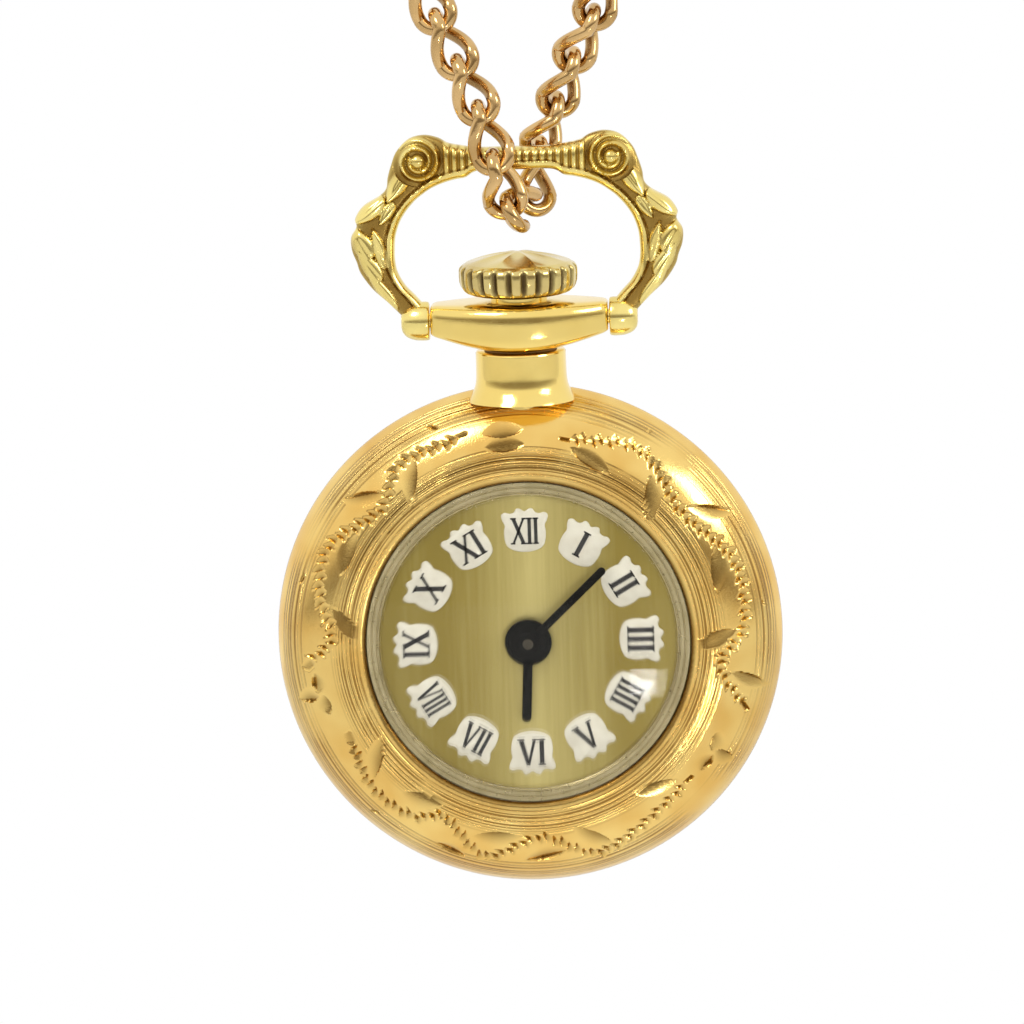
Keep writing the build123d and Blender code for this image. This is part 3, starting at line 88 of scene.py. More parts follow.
class Value:
    """A shader socket that takes part in Python expressions."""

    def __init__(self, tree: "Nodes", socket: bpy.types.NodeSocket) -> None:
        """Keeps the tree and the socket that gives the value."""
        self.tree, self.socket = tree, socket

    def __add__(self, other: "Value | float") -> "Value":
        """The sum of two values."""
        return self.tree.math("ADD", self, other)

    __radd__ = __add__

    def __sub__(self, other: "Value | float") -> "Value":
        """The difference of two values."""
        return self.tree.math("SUBTRACT", self, other)

    def __rsub__(self, other: "Value | float") -> "Value":
        """A value taken from a number."""
        return self.tree.math("SUBTRACT", other, self)

    def __mul__(self, other: "Value | float") -> "Value":
        """The product of two values."""
        return self.tree.math("MULTIPLY", self, other)

    __rmul__ = __mul__

    def __pow__(self, other: "Value | float") -> "Value":
        """A value raised to a power."""
        return self.tree.math("POWER", self, other)

    def clamped(self) -> "Value":
        """The value kept between 0 and 1."""
        return self.tree.math("MINIMUM", self.tree.math("MAXIMUM", self, 0.0), 1.0)


class Nodes:
    """A shader tree that is built by expressions."""

    def __init__(self, tree: bpy.types.NodeTree) -> None:
        """Empties a tree and keeps it."""
        self.tree = tree
        tree.nodes.clear()

    def add(self, kind: str, settings: dict | None = None, **sockets: object) -> bpy.types.Node:
        """Adds a node.

        Args:
            kind: the node's type.
            settings: attributes to set before its sockets are filled.
            **sockets: values or links by socket name, with _ for a space, or by i and a number.

        Returns:
            The new node.
        """
        node = self.tree.nodes.new(kind)
        for name, value in (settings or {}).items():
            if name == "stops":
                ramp = node.color_ramp
                for stop, colour in value[2:]:
                    ramp.elements.new(stop).color = colour
                for element, (stop, colour) in zip(ramp.elements, sorted(value)):
                    element.position, element.color = stop, colour
            else:
                setattr(node, name, value)
        for name, value in sockets.items():
            numbered = name[0] == "i" and name[1:].isdigit()
            socket = node.inputs[int(name[1:]) if numbered else name.replace("_", " ")]
            if isinstance(value, Value):
                self.tree.links.new(value.socket, socket)
            elif isinstance(value, bpy.types.NodeSocket):
                self.tree.links.new(value, socket)
            else:
                socket.default_value = value
        return node

    def math(self, operation: str, a: Value | float, b: Value | float = 0.0) -> Value:
        """One Math node on two values."""
        node = self.add("ShaderNodeMath", {"operation": operation}, i0=a, i1=b)
        return Value(self, node.outputs[0])

    def place(self) -> bpy.types.NodeSocket:
        """The object coordinates, in metres."""
        return self.add("ShaderNodeTexCoord").outputs["Object"]

    def axes(self) -> tuple[Value, Value, Value]:
        """The three object coordinates, in millimetres."""
        split = self.add("ShaderNodeSeparateXYZ", None, i0=self.place())
        return tuple(Value(self, split.outputs[n]) * 1000.0 for n in range(3))

    def noise(self, scale: float, stretch: Sequence[float] = (1, 1, 1),
              detail: float = 3.0) -> Value:
        """Noise at a number of cells to the millimetre, drawn out by a stretch on each axis."""
        mapping = self.add("ShaderNodeMapping", None, Vector=self.place(),
                           Scale=[1000.0 * scale * s for s in stretch])
        node = self.add("ShaderNodeTexNoise", None, Vector=mapping.outputs[0], Scale=1.0,
                        Detail=detail)
        return Value(self, node.outputs[0])

    def ripple(self, along: Value, scale: float) -> Value:
        """Noise of one value alone, at a number of cells to its unit."""
        node = self.add("ShaderNodeTexNoise", {"noise_dimensions": "1D"}, W=along, Scale=scale,
                        Detail=2.0)
        return Value(self, node.outputs[0])

    def attribute(self, name: str) -> Value:
        """A value that the mesh carries at each point."""
        return Value(self, self.add("ShaderNodeAttribute", {"attribute_name": name}).outputs["Fac"])

    def blend(self, share: Value | float, first: object, second: object) -> bpy.types.NodeSocket:
        """Two colours mixed by a share."""
        node = self.add("ShaderNodeMix", {"data_type": "RGBA"}, i0=share, i6=first, i7=second)
        return node.outputs[2]

    def bump(self, height: Value, distance: float) -> bpy.types.NodeSocket:
        """A normal from a height of 0 to 1 over a distance in millimetres."""
        return self.add("ShaderNodeBump", None, Height=height, Distance=distance * MM,
                        Strength=1.0).outputs[0]


def rgba(colour: Sequence[float]) -> tuple[float, ...]:
    """A colour with full alpha."""
    return (*colour, 1.0)


class Finish:
    """A finish that is built once and shared."""

    name: str

    def build(self, nodes: Nodes) -> bpy.types.Node:
        """Adds the finish's nodes and gives its shader."""
        raise NotImplementedError

    def material(self) -> bpy.types.Material:
        """The finish's material, made on first use."""
        if self not in MADE:
            MADE[self] = bpy.data.materials.new(self.name)
            MADE[self].use_nodes = True
            nodes = Nodes(MADE[self].node_tree)
            shader = self.build(nodes)
            nodes.add("ShaderNodeOutputMaterial", None, Surface=shader.outputs[0])
        return MADE[self]


MADE: dict[Finish, bpy.types.Material] = {}


@dataclass(frozen=True)
class Gold(Finish):
    """Plated gold with some wear: a polished skin with fine scratches and smudges.

    The colour runs to a shade by slow noise, and to a dark colour of painted shade where a value
    that the mesh carries is high, as it is in the cuts and hollows of cast or engraved work, where
    shade falls.
    """

    name: str
    colour: tuple[float, float, float]
    shade: tuple[float, float, float]
    # The colour of the painted shade in cuts, hollows and creases.
    ground: tuple[float, float, float] = (0.25, 0.14, 0.05)
    roughness: float = 0.16
    ground_roughness: float = 0.5
    scratch: float = 0.004
    lines: bool = False
    line_colour: tuple[float, float, float] = (0.26, 0.12, 0.02)
    line_density: float = 8.5
    inner_band: tuple[float, float] = (9.0, 10.6)
    outer_band: tuple[float, float] = (11.95, 13.3)

    def build(self, nodes: Nodes) -> bpy.types.Node:
        """Adds the nodes of the gold."""
        cloud = nodes.noise(0.35, detail=2.0)
        smudge = nodes.noise(1.3, detail=4.0)
        # How much painted shade each place takes; those places are also rougher and pitted.
        depth = nodes.attribute("ground").clamped()
        skin = nodes.blend(((cloud - 0.35) * 2.5).clamped(), rgba(self.colour), rgba(self.shade))
        scuffs = nodes.noise(9.0, (1.0, 1.0, 0.12), detail=2.0)
        grain = nodes.noise(22.0, detail=2.0)
        height = scuffs * 0.6 + grain * 0.4 + depth * nodes.noise(5.0, detail=3.0) * 3.0
        if self.lines:
            line = self.turned_lines(nodes)
            height = height * 0.2 + (1.0 - line) * 0.8
            skin = nodes.blend(line * 0.8, skin, rgba(self.line_colour))
        colour = nodes.blend(depth, skin, rgba(self.ground))
        rough = (self.roughness + (smudge - 0.5) * 0.16
                 + depth * (self.ground_roughness - self.roughness)).clamped()
        normal = nodes.bump(height, 0.04 if self.lines else self.scratch)
        return nodes.add("ShaderNodeBsdfPrincipled", None, Base_Color=colour, Roughness=rough,
                         Normal=normal, Metallic=1.0)

    def turned_lines(self, nodes: Nodes) -> Value:
        """Fine lines round the dial in two bands, left out of the cuts.

        A line lies where noise of the radius alone is high, so that the lines are uneven in width
        and in distance, and slow noise of the place wears them away in patches.
        """
        u, _, z = nodes.axes()
        v = z - CASE_Z
        radius = (u * u + v * v) ** 0.5
        (lip, in_end), (out_start, rim) = self.inner_band, self.outer_band
        line = ((nodes.ripple(radius, self.line_density) - 0.48) * 9.0).clamped()
        inner = ((in_end - radius) * 3.0).clamped() * ((radius - lip) * 8.0).clamped()
        outer = ((radius - out_start) * 3.0).clamped() * ((rim - radius) * 6.0).clamped()
        patchy = ((nodes.noise(0.16, detail=1.0) - 0.34) * 7.0).clamped()
        worn = ((nodes.noise(0.45, detail=3.0) - 0.24) * 5.0).clamped()
        clear = (1.0 - nodes.attribute("cut") * 3.0).clamped()
        return line * (inner * worn + outer * patchy).clamped() * clear


@dataclass(frozen=True)
class Acrylic(Finish):
    """Clear acrylic with a faint warm tint and fine polishing marks."""

    name: str = "acrylic"

    def build(self, nodes: Nodes) -> bpy.types.Node:
        """Adds the nodes of the crystal."""
        marks = nodes.noise(6.0, (1.0, 1.0, 0.2), detail=2.0)
        glass = nodes.add("ShaderNodeBsdfPrincipled", None, Base_Color=rgba((1.0, 0.985, 0.95)),
                          Roughness=((marks - 0.45) * 0.08).clamped(), IOR=1.49,
                          Transmission_Weight=1.0, Normal=nodes.bump(marks, 0.0006))
        clear = nodes.add("ShaderNodeBsdfTransparent", None, Color=rgba((1.0, 0.99, 0.96)))
        return nodes.add("ShaderNodeMixShader", None, i0=0.2, i1=clear.outputs[0],
                         i2=glass.outputs[0])


@dataclass(frozen=True)
class BrushedDial(Finish):
    """A champagne dial brushed up and down: fine streaks along Z that gather to pale bands, with a
    painted sheen down the middle.
    """

    name: str = "champagne_dial"

    def build(self, nodes: Nodes) -> bpy.types.Node:
        """Adds the nodes of the dial."""
        u, _, _ = nodes.axes()
        streaks = nodes.noise(5.0, (1.0, 1.0, 0.03), detail=5.0)
        bands = nodes.noise(0.32, (1.0, 1.0, 0.04), detail=1.0)
        # Painted sheen: a pale band down the middle of the dial, where the upright brushing catches
        # the light; the sides are darker.
        middle = nodes.math("EXPONENT", (u - 0.6) * (u - 0.6) * -0.11)
        sheen_and_grain = (middle * 0.75 + (bands - 0.5) * 1.1 + (streaks - 0.5) * 0.45).clamped()
        colour = nodes.blend(sheen_and_grain, rgba((0.31, 0.24, 0.052)), rgba((0.70, 0.62, 0.27)))
        return nodes.add("ShaderNodeBsdfPrincipled", None, Base_Color=colour, Metallic=0.55,
                         Roughness=(0.36 + streaks * 0.16).clamped(),
                         Normal=nodes.bump(streaks, 0.004))


@dataclass(frozen=True)
class Paint(Finish):
    """Enamel or lacquer: an even colour that mottles a little, under a thin gloss."""

    name: str
    colour: tuple[float, float, float]
    mottle: tuple[float, float, float]
    roughness: float = 0.3
    coat: float = 0.4
    shine: float = 0.5

    def build(self, nodes: Nodes) -> bpy.types.Node:
        """Adds the nodes of the paint."""
        cloud = nodes.noise(1.6, detail=3.0)
        orange_peel = nodes.noise(7.0, detail=2.0)
        colour = nodes.blend(((cloud - 0.4) * 3.0).clamped(), rgba(self.colour), rgba(self.mottle))
        return nodes.add("ShaderNodeBsdfPrincipled", None, Base_Color=colour,
                         Roughness=(self.roughness + (cloud - 0.5) * 0.2).clamped(),
                         Coat_Weight=self.coat, Specular_IOR_Level=self.shine,
                         Normal=nodes.bump(orange_peel, 0.003))


@dataclass(frozen=True)
class WorkedMetal(Finish):
    """Metal of the movement: grained along one axis, with a duller bloom in patches."""

    name: str
    colour: tuple[float, float, float]
    bloom: tuple[float, float, float]
    roughness: float = 0.25
    grain: tuple[float, float, float] = (1.0, 1.0, 0.06)

    def build(self, nodes: Nodes) -> bpy.types.Node:
        """Adds the nodes of the metal."""
        grain = nodes.noise(11.0, self.grain, detail=3.0)
        return nodes.add("ShaderNodeBsdfPrincipled", None, Base_Color=self.tint(nodes),
                         Metallic=1.0, Roughness=(self.roughness + (grain - 0.5) * 0.2).clamped(),
                         Normal=nodes.bump(grain, 0.003))

    def tint(self, nodes: Nodes) -> Value:
        """The metal's colour, with the bloom in clouds."""
        cloud = nodes.noise(0.8, detail=3.0)
        return nodes.blend(((cloud - 0.42) * 3.0).clamped(), rgba(self.colour), rgba(self.bloom))


@dataclass(frozen=True)
class Staked(WorkedMetal):
    """A wheel staked on an arbor of another metal that runs through the middle of the case."""

    arbor: tuple[float, float, float] = (0.10, 0.09, 0.075)
    arbor_radius: float = 0.3

    def tint(self, nodes: Nodes) -> Value:
        """The wheel's colour, and the arbor's near the axis."""
        u, _, z = nodes.axes()
        v = z - CASE_Z
        near = ((self.arbor_radius - (u * u + v * v) ** 0.5) * 50.0).clamped()
        return nodes.blend(near, super().tint(nodes), rgba(self.arbor))


@dataclass(frozen=True)
class Ruby(Finish):
    """Synthetic ruby: deep red glass with paler clouds."""

    name: str = "ruby"

    def build(self, nodes: Nodes) -> bpy.types.Node:
        """Adds the nodes of the jewels."""
        cloud = nodes.noise(2.5, detail=2.0)
        colour = nodes.blend(cloud, rgba((0.42, 0.01, 0.05)), rgba((0.75, 0.06, 0.16)))
        return nodes.add("ShaderNodeBsdfPrincipled", None, Base_Color=colour, Roughness=0.06,
                         Coat_Weight=0.6)


YELLOW = Gold("polished_gold", (0.94, 0.72, 0.235), (0.91, 0.67, 0.195), roughness=0.12)
BEZEL = Gold("engraved_gold", (0.91, 0.64, 0.21), (0.79, 0.47, 0.115), (0.15, 0.07, 0.010), 0.14,
             0.30, lines=True)
BOW_GOLD = Gold("cast_gold", (0.94, 0.77, 0.27), (0.70, 0.50, 0.13), (0.33, 0.20, 0.045), 0.17,
                0.42)
CROWN_GOLD = Gold("worn_gold", (0.80, 0.65, 0.26), (0.62, 0.46, 0.17), (0.07, 0.04, 0.015), 0.16,
                  0.45)
ROSE = Gold("red_gold", (0.74, 0.49, 0.215), (0.46, 0.28, 0.10), (0.15, 0.065, 0.02), 0.14, 0.4)
STEEL = WorkedMetal("steel", (0.60, 0.61, 0.63), (0.50, 0.51, 0.54), 0.18)
SCREW_STEEL = WorkedMetal("screw_steel", (0.52, 0.53, 0.57), (0.40, 0.42, 0.48), 0.14)
NICKEL = WorkedMetal("plate_nickel", (0.70, 0.69, 0.66), (0.60, 0.58, 0.54), 0.3, (1.0, 0.06, 1.0))
GILT = WorkedMetal("gilt_brass", (0.80, 0.62, 0.28), (0.70, 0.50, 0.20), 0.22)
STAKED_GILT = Staked("staked_gilt", (0.80, 0.62, 0.28), (0.70, 0.50, 0.20), 0.22)
RING_BRASS = WorkedMetal("ring_brass", (0.68, 0.52, 0.24), (0.52, 0.38, 0.16), 0.35)
REFLECTOR = WorkedMetal("ring_gilt", (0.54, 0.47, 0.29), (0.42, 0.36, 0.20), 0.3, (0.3, 0.3, 0.3))
ENAMEL = Paint("plaque_enamel", (0.84, 0.83, 0.76), (0.76, 0.74, 0.66), 0.35, 0.3)
BLACK = Paint("black_lacquer", (0.003, 0.003, 0.003), (0.006, 0.006, 0.006), 0.4, 0.0, 0.12)
NUMERAL = Paint("numeral_black", (0.02, 0.02, 0.024), (0.035, 0.035, 0.04), 0.4, 0.1)


# Mesh tools


class Form:
    """Gathers grids of points into one mesh, with a value of painted shade on the ground and of the
    cuts at each.
    """

    def __init__(self) -> None:
        """Starts with nothing."""
        self.points: list[Array] = []
        self.marks: list[Array] = []
        self.faces: list[list[int]] = []
        self.count = 0

    def grid(self, points: Array, wrap_rows: bool = False, wrap_columns: bool = False,
             marks: Array | None = None) -> None:
        """Adds a grid of four-sided faces.

        Args:
            points: rows by columns by 3, in millimetres.
            wrap_rows: whether the last row meets the first.
            wrap_columns: whether the last column meets the first.
            marks: rows by columns by 2, the painted shade on the ground and the cut at each point.
        """
        rows, columns = points.shape[:2]
        index = np.arange(rows * columns).reshape(rows, columns) + self.count
        if wrap_rows:
            index = np.vstack([index, index[:1]])
        if wrap_columns:
            index = np.hstack([index, index[:, :1]])
        quads = np.stack([index[:-1, :-1], index[:-1, 1:], index[1:, 1:], index[1:, :-1]], -1)
        self.faces += quads.reshape(-1, 4).tolist()
        self.keep(points.reshape(-1, 3), None if marks is None else marks.reshape(-1, 2))

    def keep(self, points: Array, marks: Array | None = None) -> None:
        """Adds points and their marks."""
        self.points.append(points)
        self.marks.append(np.zeros((len(points), 2)) if marks is None else marks)
        self.count += len(points)

    def tube(self, rings: Array, marks: Array | None = None) -> None:
        """Adds a tube through rings of points, closed by a flat face at each end."""
        first, sides = self.count, rings.shape[1]
        self.grid(rings, wrap_columns=True, marks=marks)
        self.faces.append(list(range(first, first + sides)))
        self.faces.append(list(range(self.count - sides, self.count)))

    @classmethod
    def turned(cls, points: Array, *piece: object, marks: Array | None = None) -> None:
        """Makes a piece of one grid that is closed both ways."""
        form = cls()
        form.grid(points, wrap_rows=True, wrap_columns=True, marks=marks)
        form.piece(*piece)

    def trim(self, node: str) -> None:
        """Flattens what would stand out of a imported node's box."""
        low, high = (np.array(corner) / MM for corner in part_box(node))
        self.points = [np.clip(points, low, high) for points in self.points]

    def piece(self, name: str, finish: Finish, body: str, nodes: Sequence[str] = (),
              slot: str = "", sharp: float = 35.0) -> None:
        """Makes the mesh and its object from what was gathered.

        Args:
            name: the piece's name.
            finish: its finish.
            body: the body that it rides on.
            nodes: the nodes that it stands for.
            slot: the record's slot for its finish; not used.
            sharp: the angle over which an edge stays sharp, in degrees.
        """
        mesh = bpy.data.meshes.new(name)
        mesh.from_pydata((np.concatenate(self.points) * MM).tolist(), [], self.faces)
        marks = np.concatenate(self.marks)
        # The first value is the painted shade on the ground, the second the cut.
        for column, label in enumerate(("ground", "cut")):
            layer = mesh.attributes.new(label, "FLOAT", "POINT")
            layer.data.foreach_set("value", np.ascontiguousarray(marks[:, column], np.float32))
        work = bmesh.new()
        work.from_mesh(mesh)
        bmesh.ops.recalc_face_normals(work, faces=work.faces)
        work.to_mesh(mesh)
        work.free()
        mesh.shade_smooth()
        mesh.set_sharp_from_angle(angle=math.radians(sharp))
        mesh.materials.append(finish.material())
        thing = bpy.data.objects.new(name, mesh)
        bpy.context.scene.collection.objects.link(thing)
        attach(thing, body)
        if nodes:
            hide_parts(*nodes)
        LOG.info("%s: %d faces on %s", name, len(mesh.polygons), body)


def on_watch(u: Array, v: Array, w: Array) -> Array:
    """Points on the watch as X, Y and Z."""
    return np.stack(np.broadcast_arrays(u, -np.asarray(w, float), CASE_Z + v), -1)


def layer(flat: Array, w: float) -> Array:
    """Points of u and v as points on the watch, all at one w."""
    return on_watch(flat[:, 0], flat[:, 1], np.full(len(flat), w))


def arc(start: Sequence[float], middle: Sequence[float], end: Sequence[float], count: int) -> Array:
    """Points along the circle through three: its centre from their bisectors, then equal angles."""
    a, b, c = (np.array(p, float) for p in (start, middle, end))
    twice = 2 * ((b - a)[0] * (c - a)[1] - (b - a)[1] * (c - a)[0])
    ab, ac = (b - a) @ (b - a), (c - a) @ (c - a)
    centre = a + np.array([(c - a)[1] * ab - (b - a)[1] * ac,
                           (b - a)[0] * ac - (c - a)[0] * ab]) / twice
    radius = np.linalg.norm(a - centre)
    angles = [math.atan2(*(p - centre)[::-1]) for p in (a, b, c)]
    turn = (angles[2] - angles[0]) % (2 * math.pi)
    if (angles[1] - angles[0]) % (2 * math.pi) > turn:
        turn -= 2 * math.pi
    steps = angles[0] + turn * np.linspace(0, 1, count)
    return centre + radius * np.stack([np.cos(steps), np.sin(steps)], -1)


def dome(rim: Sequence[float], top: float, count: int) -> Array:
    """Points of a round dome from its rim to its top on the axis: an arc of a centred circle."""
    radius, rise = rim[0], top - rim[1]
    ball = (radius**2 + rise**2) / (2 * rise)
    half = math.asin(radius / ball)
    angles = half * np.linspace(1, 0, count)
    return np.stack([ball * np.sin(angles), top - ball + ball * np.cos(angles)], -1)


def smooth_path(points: Array, count: int) -> Array:
    """A curve through points: cubic pieces whose slopes are half the step between neighbours."""
    before = np.vstack([2 * points[0] - points[1], points[:-1]])
    after = np.vstack([points[1:], 2 * points[-1] - points[-2]])
    slope = (after - before) / 2
    t = np.linspace(0, len(points) - 1, count)
    k = np.minimum(t.astype(int), len(points) - 2)
    f = (t - k)[:, None]
    return ((2 * f**3 - 3 * f**2 + 1) * points[k] + (f**3 - 2 * f**2 + f) * slope[k]
            + (3 * f**2 - 2 * f**3) * points[k + 1] + (f**3 - f**2) * slope[k + 1])


def rounded(profile: Array, size: float, steps: int = 3) -> Array:
    """A closed profile with round corners: each is a short curve between two cuts."""
    before, after = np.roll(profile, 1, 0), np.roll(profile, -1, 0)
    back, on = before - profile, after - profile
    back_length = np.linalg.norm(back, axis=1, keepdims=True)
    on_length = np.linalg.norm(on, axis=1, keepdims=True)
    start = profile + back / back_length * np.minimum(size, back_length * 0.45)
    end = profile + on / on_length * np.minimum(size, on_length * 0.45)
    t = np.linspace(0, 1, steps + 1)[None, :, None]
    curve = (1 - t) ** 2 * start[:, None] + 2 * t * (1 - t) * profile[:, None] + t**2 * end[:, None]
    return curve.reshape(-1, 2)


def turned_about_case(profile: Array, columns: int) -> Array:
    """A profile of radius and w carried round the axis of the case."""
    angle = np.linspace(0, 2 * math.pi, columns, endpoint=False)
    radius, w = profile[:, :1], profile[:, 1:]
    return on_watch(radius * np.cos(angle), radius * np.sin(angle), w)


def turned_about_stem(profile: Array, columns: int) -> Array:
    """A profile of radius and v carried round the stem."""
    angle = np.linspace(0, 2 * math.pi, columns, endpoint=False)
    radius, v = profile[:, :1], profile[:, 1:]
    return on_watch(radius * np.cos(angle), v, radius * np.sin(angle))


# The case


def clock(radius: Array, angle: Array) -> Array:
    """Points at a radius and an angle clockwise from twelve, in degrees, as u and v."""
    turn = np.radians(np.asarray(angle, float))
    return np.stack([radius * np.sin(turn), radius * np.cos(turn)], -1)


@dataclass
class Engraving:
    """The bright-cut work on the bezel: wriggled vines, leaves beside them, flowers and scales.

    Places are a radius and an angle clockwise from twelve. A leaf leans from its vine by an angle
    in radians, and shrinks where it would come near the rim.
    """

    vines: tuple[tuple[tuple[float, float], ...], ...] = (
        ((11.5, -17), (11.7, -34), (10.6, -46), (11.8, -63), (11.4, -76), (10.5, -87), (11.8, -94)),
        ((11.2, 13), (11.9, 32), (10.8, 51), (11.8, 70), (11.5, 87), (10.3, 98), (11.9, 108)),
        ((11.4, 134), (11.8, 153), (12.1, 165), (10.6, 178), (12.0, 193), (10.5, 207),
         (11.4, 215), (11.6, 228), (10.9, 242)),
    )
    pitch: float = 0.44
    nick_half_width: float = 0.36
    nick_depth: float = 0.18
    sway: float = 0.07
    leaf_depth: float = 0.20
    leaf_every: float = 2.6
    leaf_half_length: float = 1.3
    leaf_half_width: float = 0.42
    leaf_lean: float = 0.5
    leaf_offset: float = 0.95
    rim_radius: float = 12.75
    scales: tuple[tuple[float, float], ...] = ((11.48, -5), (10.74, -5))
    scale_half_length: float = 1.1
    scale_half_width: float = -0.44
    flowers: tuple[tuple[float, float], ...] = ((11.5, 123), (11.55, 257))
    petal_turns: tuple[float, ...] = (-100, 0, 100)
    petal_half_length: float = 0.62
    petal_half_width: float = 0.42

    def vine_line(self, places: Sequence[tuple[float, float]], step: float) -> tuple[Array, Array]:
        """A vine's middle line at even steps, and its sideways direction."""
        table = np.array(places, float)
        line = smooth_path(clock(table[:, 0], table[:, 1]), 400)
        length = np.concatenate([[0], np.cumsum(np.linalg.norm(np.diff(line, axis=0), axis=1))])
        steps = np.arange(0, length[-1], step)
        line = np.stack([np.interp(steps, length, line[:, n]) for n in range(2)], -1)
        run = np.gradient(line, axis=0)
        run /= np.linalg.norm(run, axis=1, keepdims=True)
        return line, np.stack([-run[:, 1], run[:, 0]], -1)

    def nicks(self, places: Array, step: float = 0.04) -> tuple[Array, Array]:
        """The depth of the nicks along the vines, and where they lie.

        A nick is a triangle: along the vine its floor falls evenly and ends in a steep wall, and it
        widens as it deepens. Nicks stand a little to the left and to the right in turn.
        """
        depth, inside = np.zeros(len(places)), np.zeros(len(places), bool)
        for vine in self.vines:
            line, side = self.vine_line(vine, step)
            nearest, gap = np.zeros(len(places), int), np.full(len(places), np.inf)
            for first in range(0, len(line), 50):
                span = np.linalg.norm(places[:, None] - line[None, first:first + 50], axis=-1)
                best = span.argmin(1)
                found = span[np.arange(len(places)), best]
                nearest = np.where(found < gap, best + first, nearest)
                gap = np.minimum(gap, found)
            offset = places - line[nearest]
            across = (offset * side[nearest]).sum(1)
            turn = nearest * step / self.pitch + 0.35 * across / self.nick_half_width
            share = turn % 1
            across = across - self.sway * np.where(np.floor(turn) % 2 > 0, 1.0, -1.0)
            reach = self.nick_half_width * (0.25 + 0.75 * share)
            here = (np.abs(across) < reach) & (gap < self.nick_half_width * 1.5)
            floor = self.nick_depth * share * (1 - np.abs(across) / reach) ** 0.6
            depth = np.where(here, np.maximum(depth, floor), depth)
            inside |= here
        return depth, inside

    def leaves(self) -> list[tuple[Array, float, float, float]]:
        """Each leaf's middle, its direction, its half length and its half width."""
        found = []
        for places in self.vines:
            line, side = self.vine_line(places, 0.2)
            stride = int(self.leaf_every / 0.2)
            for number, n in enumerate(range(stride // 2, len(line) - 2, stride)):
                way = 1 if number % 2 else -1
                run = line[n + 1] - line[n - 1]
                lean = math.atan2(run[1], run[0]) + way * self.leaf_lean
                place = line[n] + side[n] * way * self.leaf_offset
                reach = min(1.0, (self.rim_radius - np.linalg.norm(place)) / 0.9)
                found.append((place, lean, self.leaf_half_length * reach,
                              self.leaf_half_width * reach * way))
        for radius, angle in self.scales:
            found.append((clock(radius, angle), math.radians(-angle), self.scale_half_length,
                          self.scale_half_width))
        for radius, angle in self.flowers:
            for turn in self.petal_turns:
                lean = math.radians(90 - angle + turn)
                reach = self.petal_half_length * np.array([math.cos(lean), math.sin(lean)])
                found.append((clock(radius, angle) + reach, lean, self.petal_half_length,
                              self.petal_half_width))
        return found

    def depth(self, places: Array) -> tuple[Array, Array]:
        """How deep the work is cut at each place.

        A leaf is a pointed lens whose floor slopes down from one edge to a step at the other, and
        it bends as it runs.

        Args:
            places: points as u and v.

        Returns:
            The depth in millimetres, and how much of a cut each place is, from 0 to 1.
        """
        depth, inside = self.nicks(places)
        cut = inside * 1.0
        for middle, lean, half_length, half_width in self.leaves():
            offset = places - middle
            along = offset @ np.array([math.cos(lean), math.sin(lean)]) / half_length
            across = offset @ np.array([-math.sin(lean), math.cos(lean)]) / half_width
            edge = np.clip(1 - along**2, 0, 1)
            across = across + 0.35 * (1 - along**2) - 0.2
            inside = (np.abs(across) < edge) & (np.abs(along) < 1)
            slope = np.where(inside, (across + edge) / np.maximum(2 * edge, 1e-6), 0)
            depth = np.where(inside, np.maximum(depth, self.leaf_depth * slope**1.3 * edge), depth)
            cut = np.where(inside, np.maximum(cut, 0.35), cut)
        return depth, cut


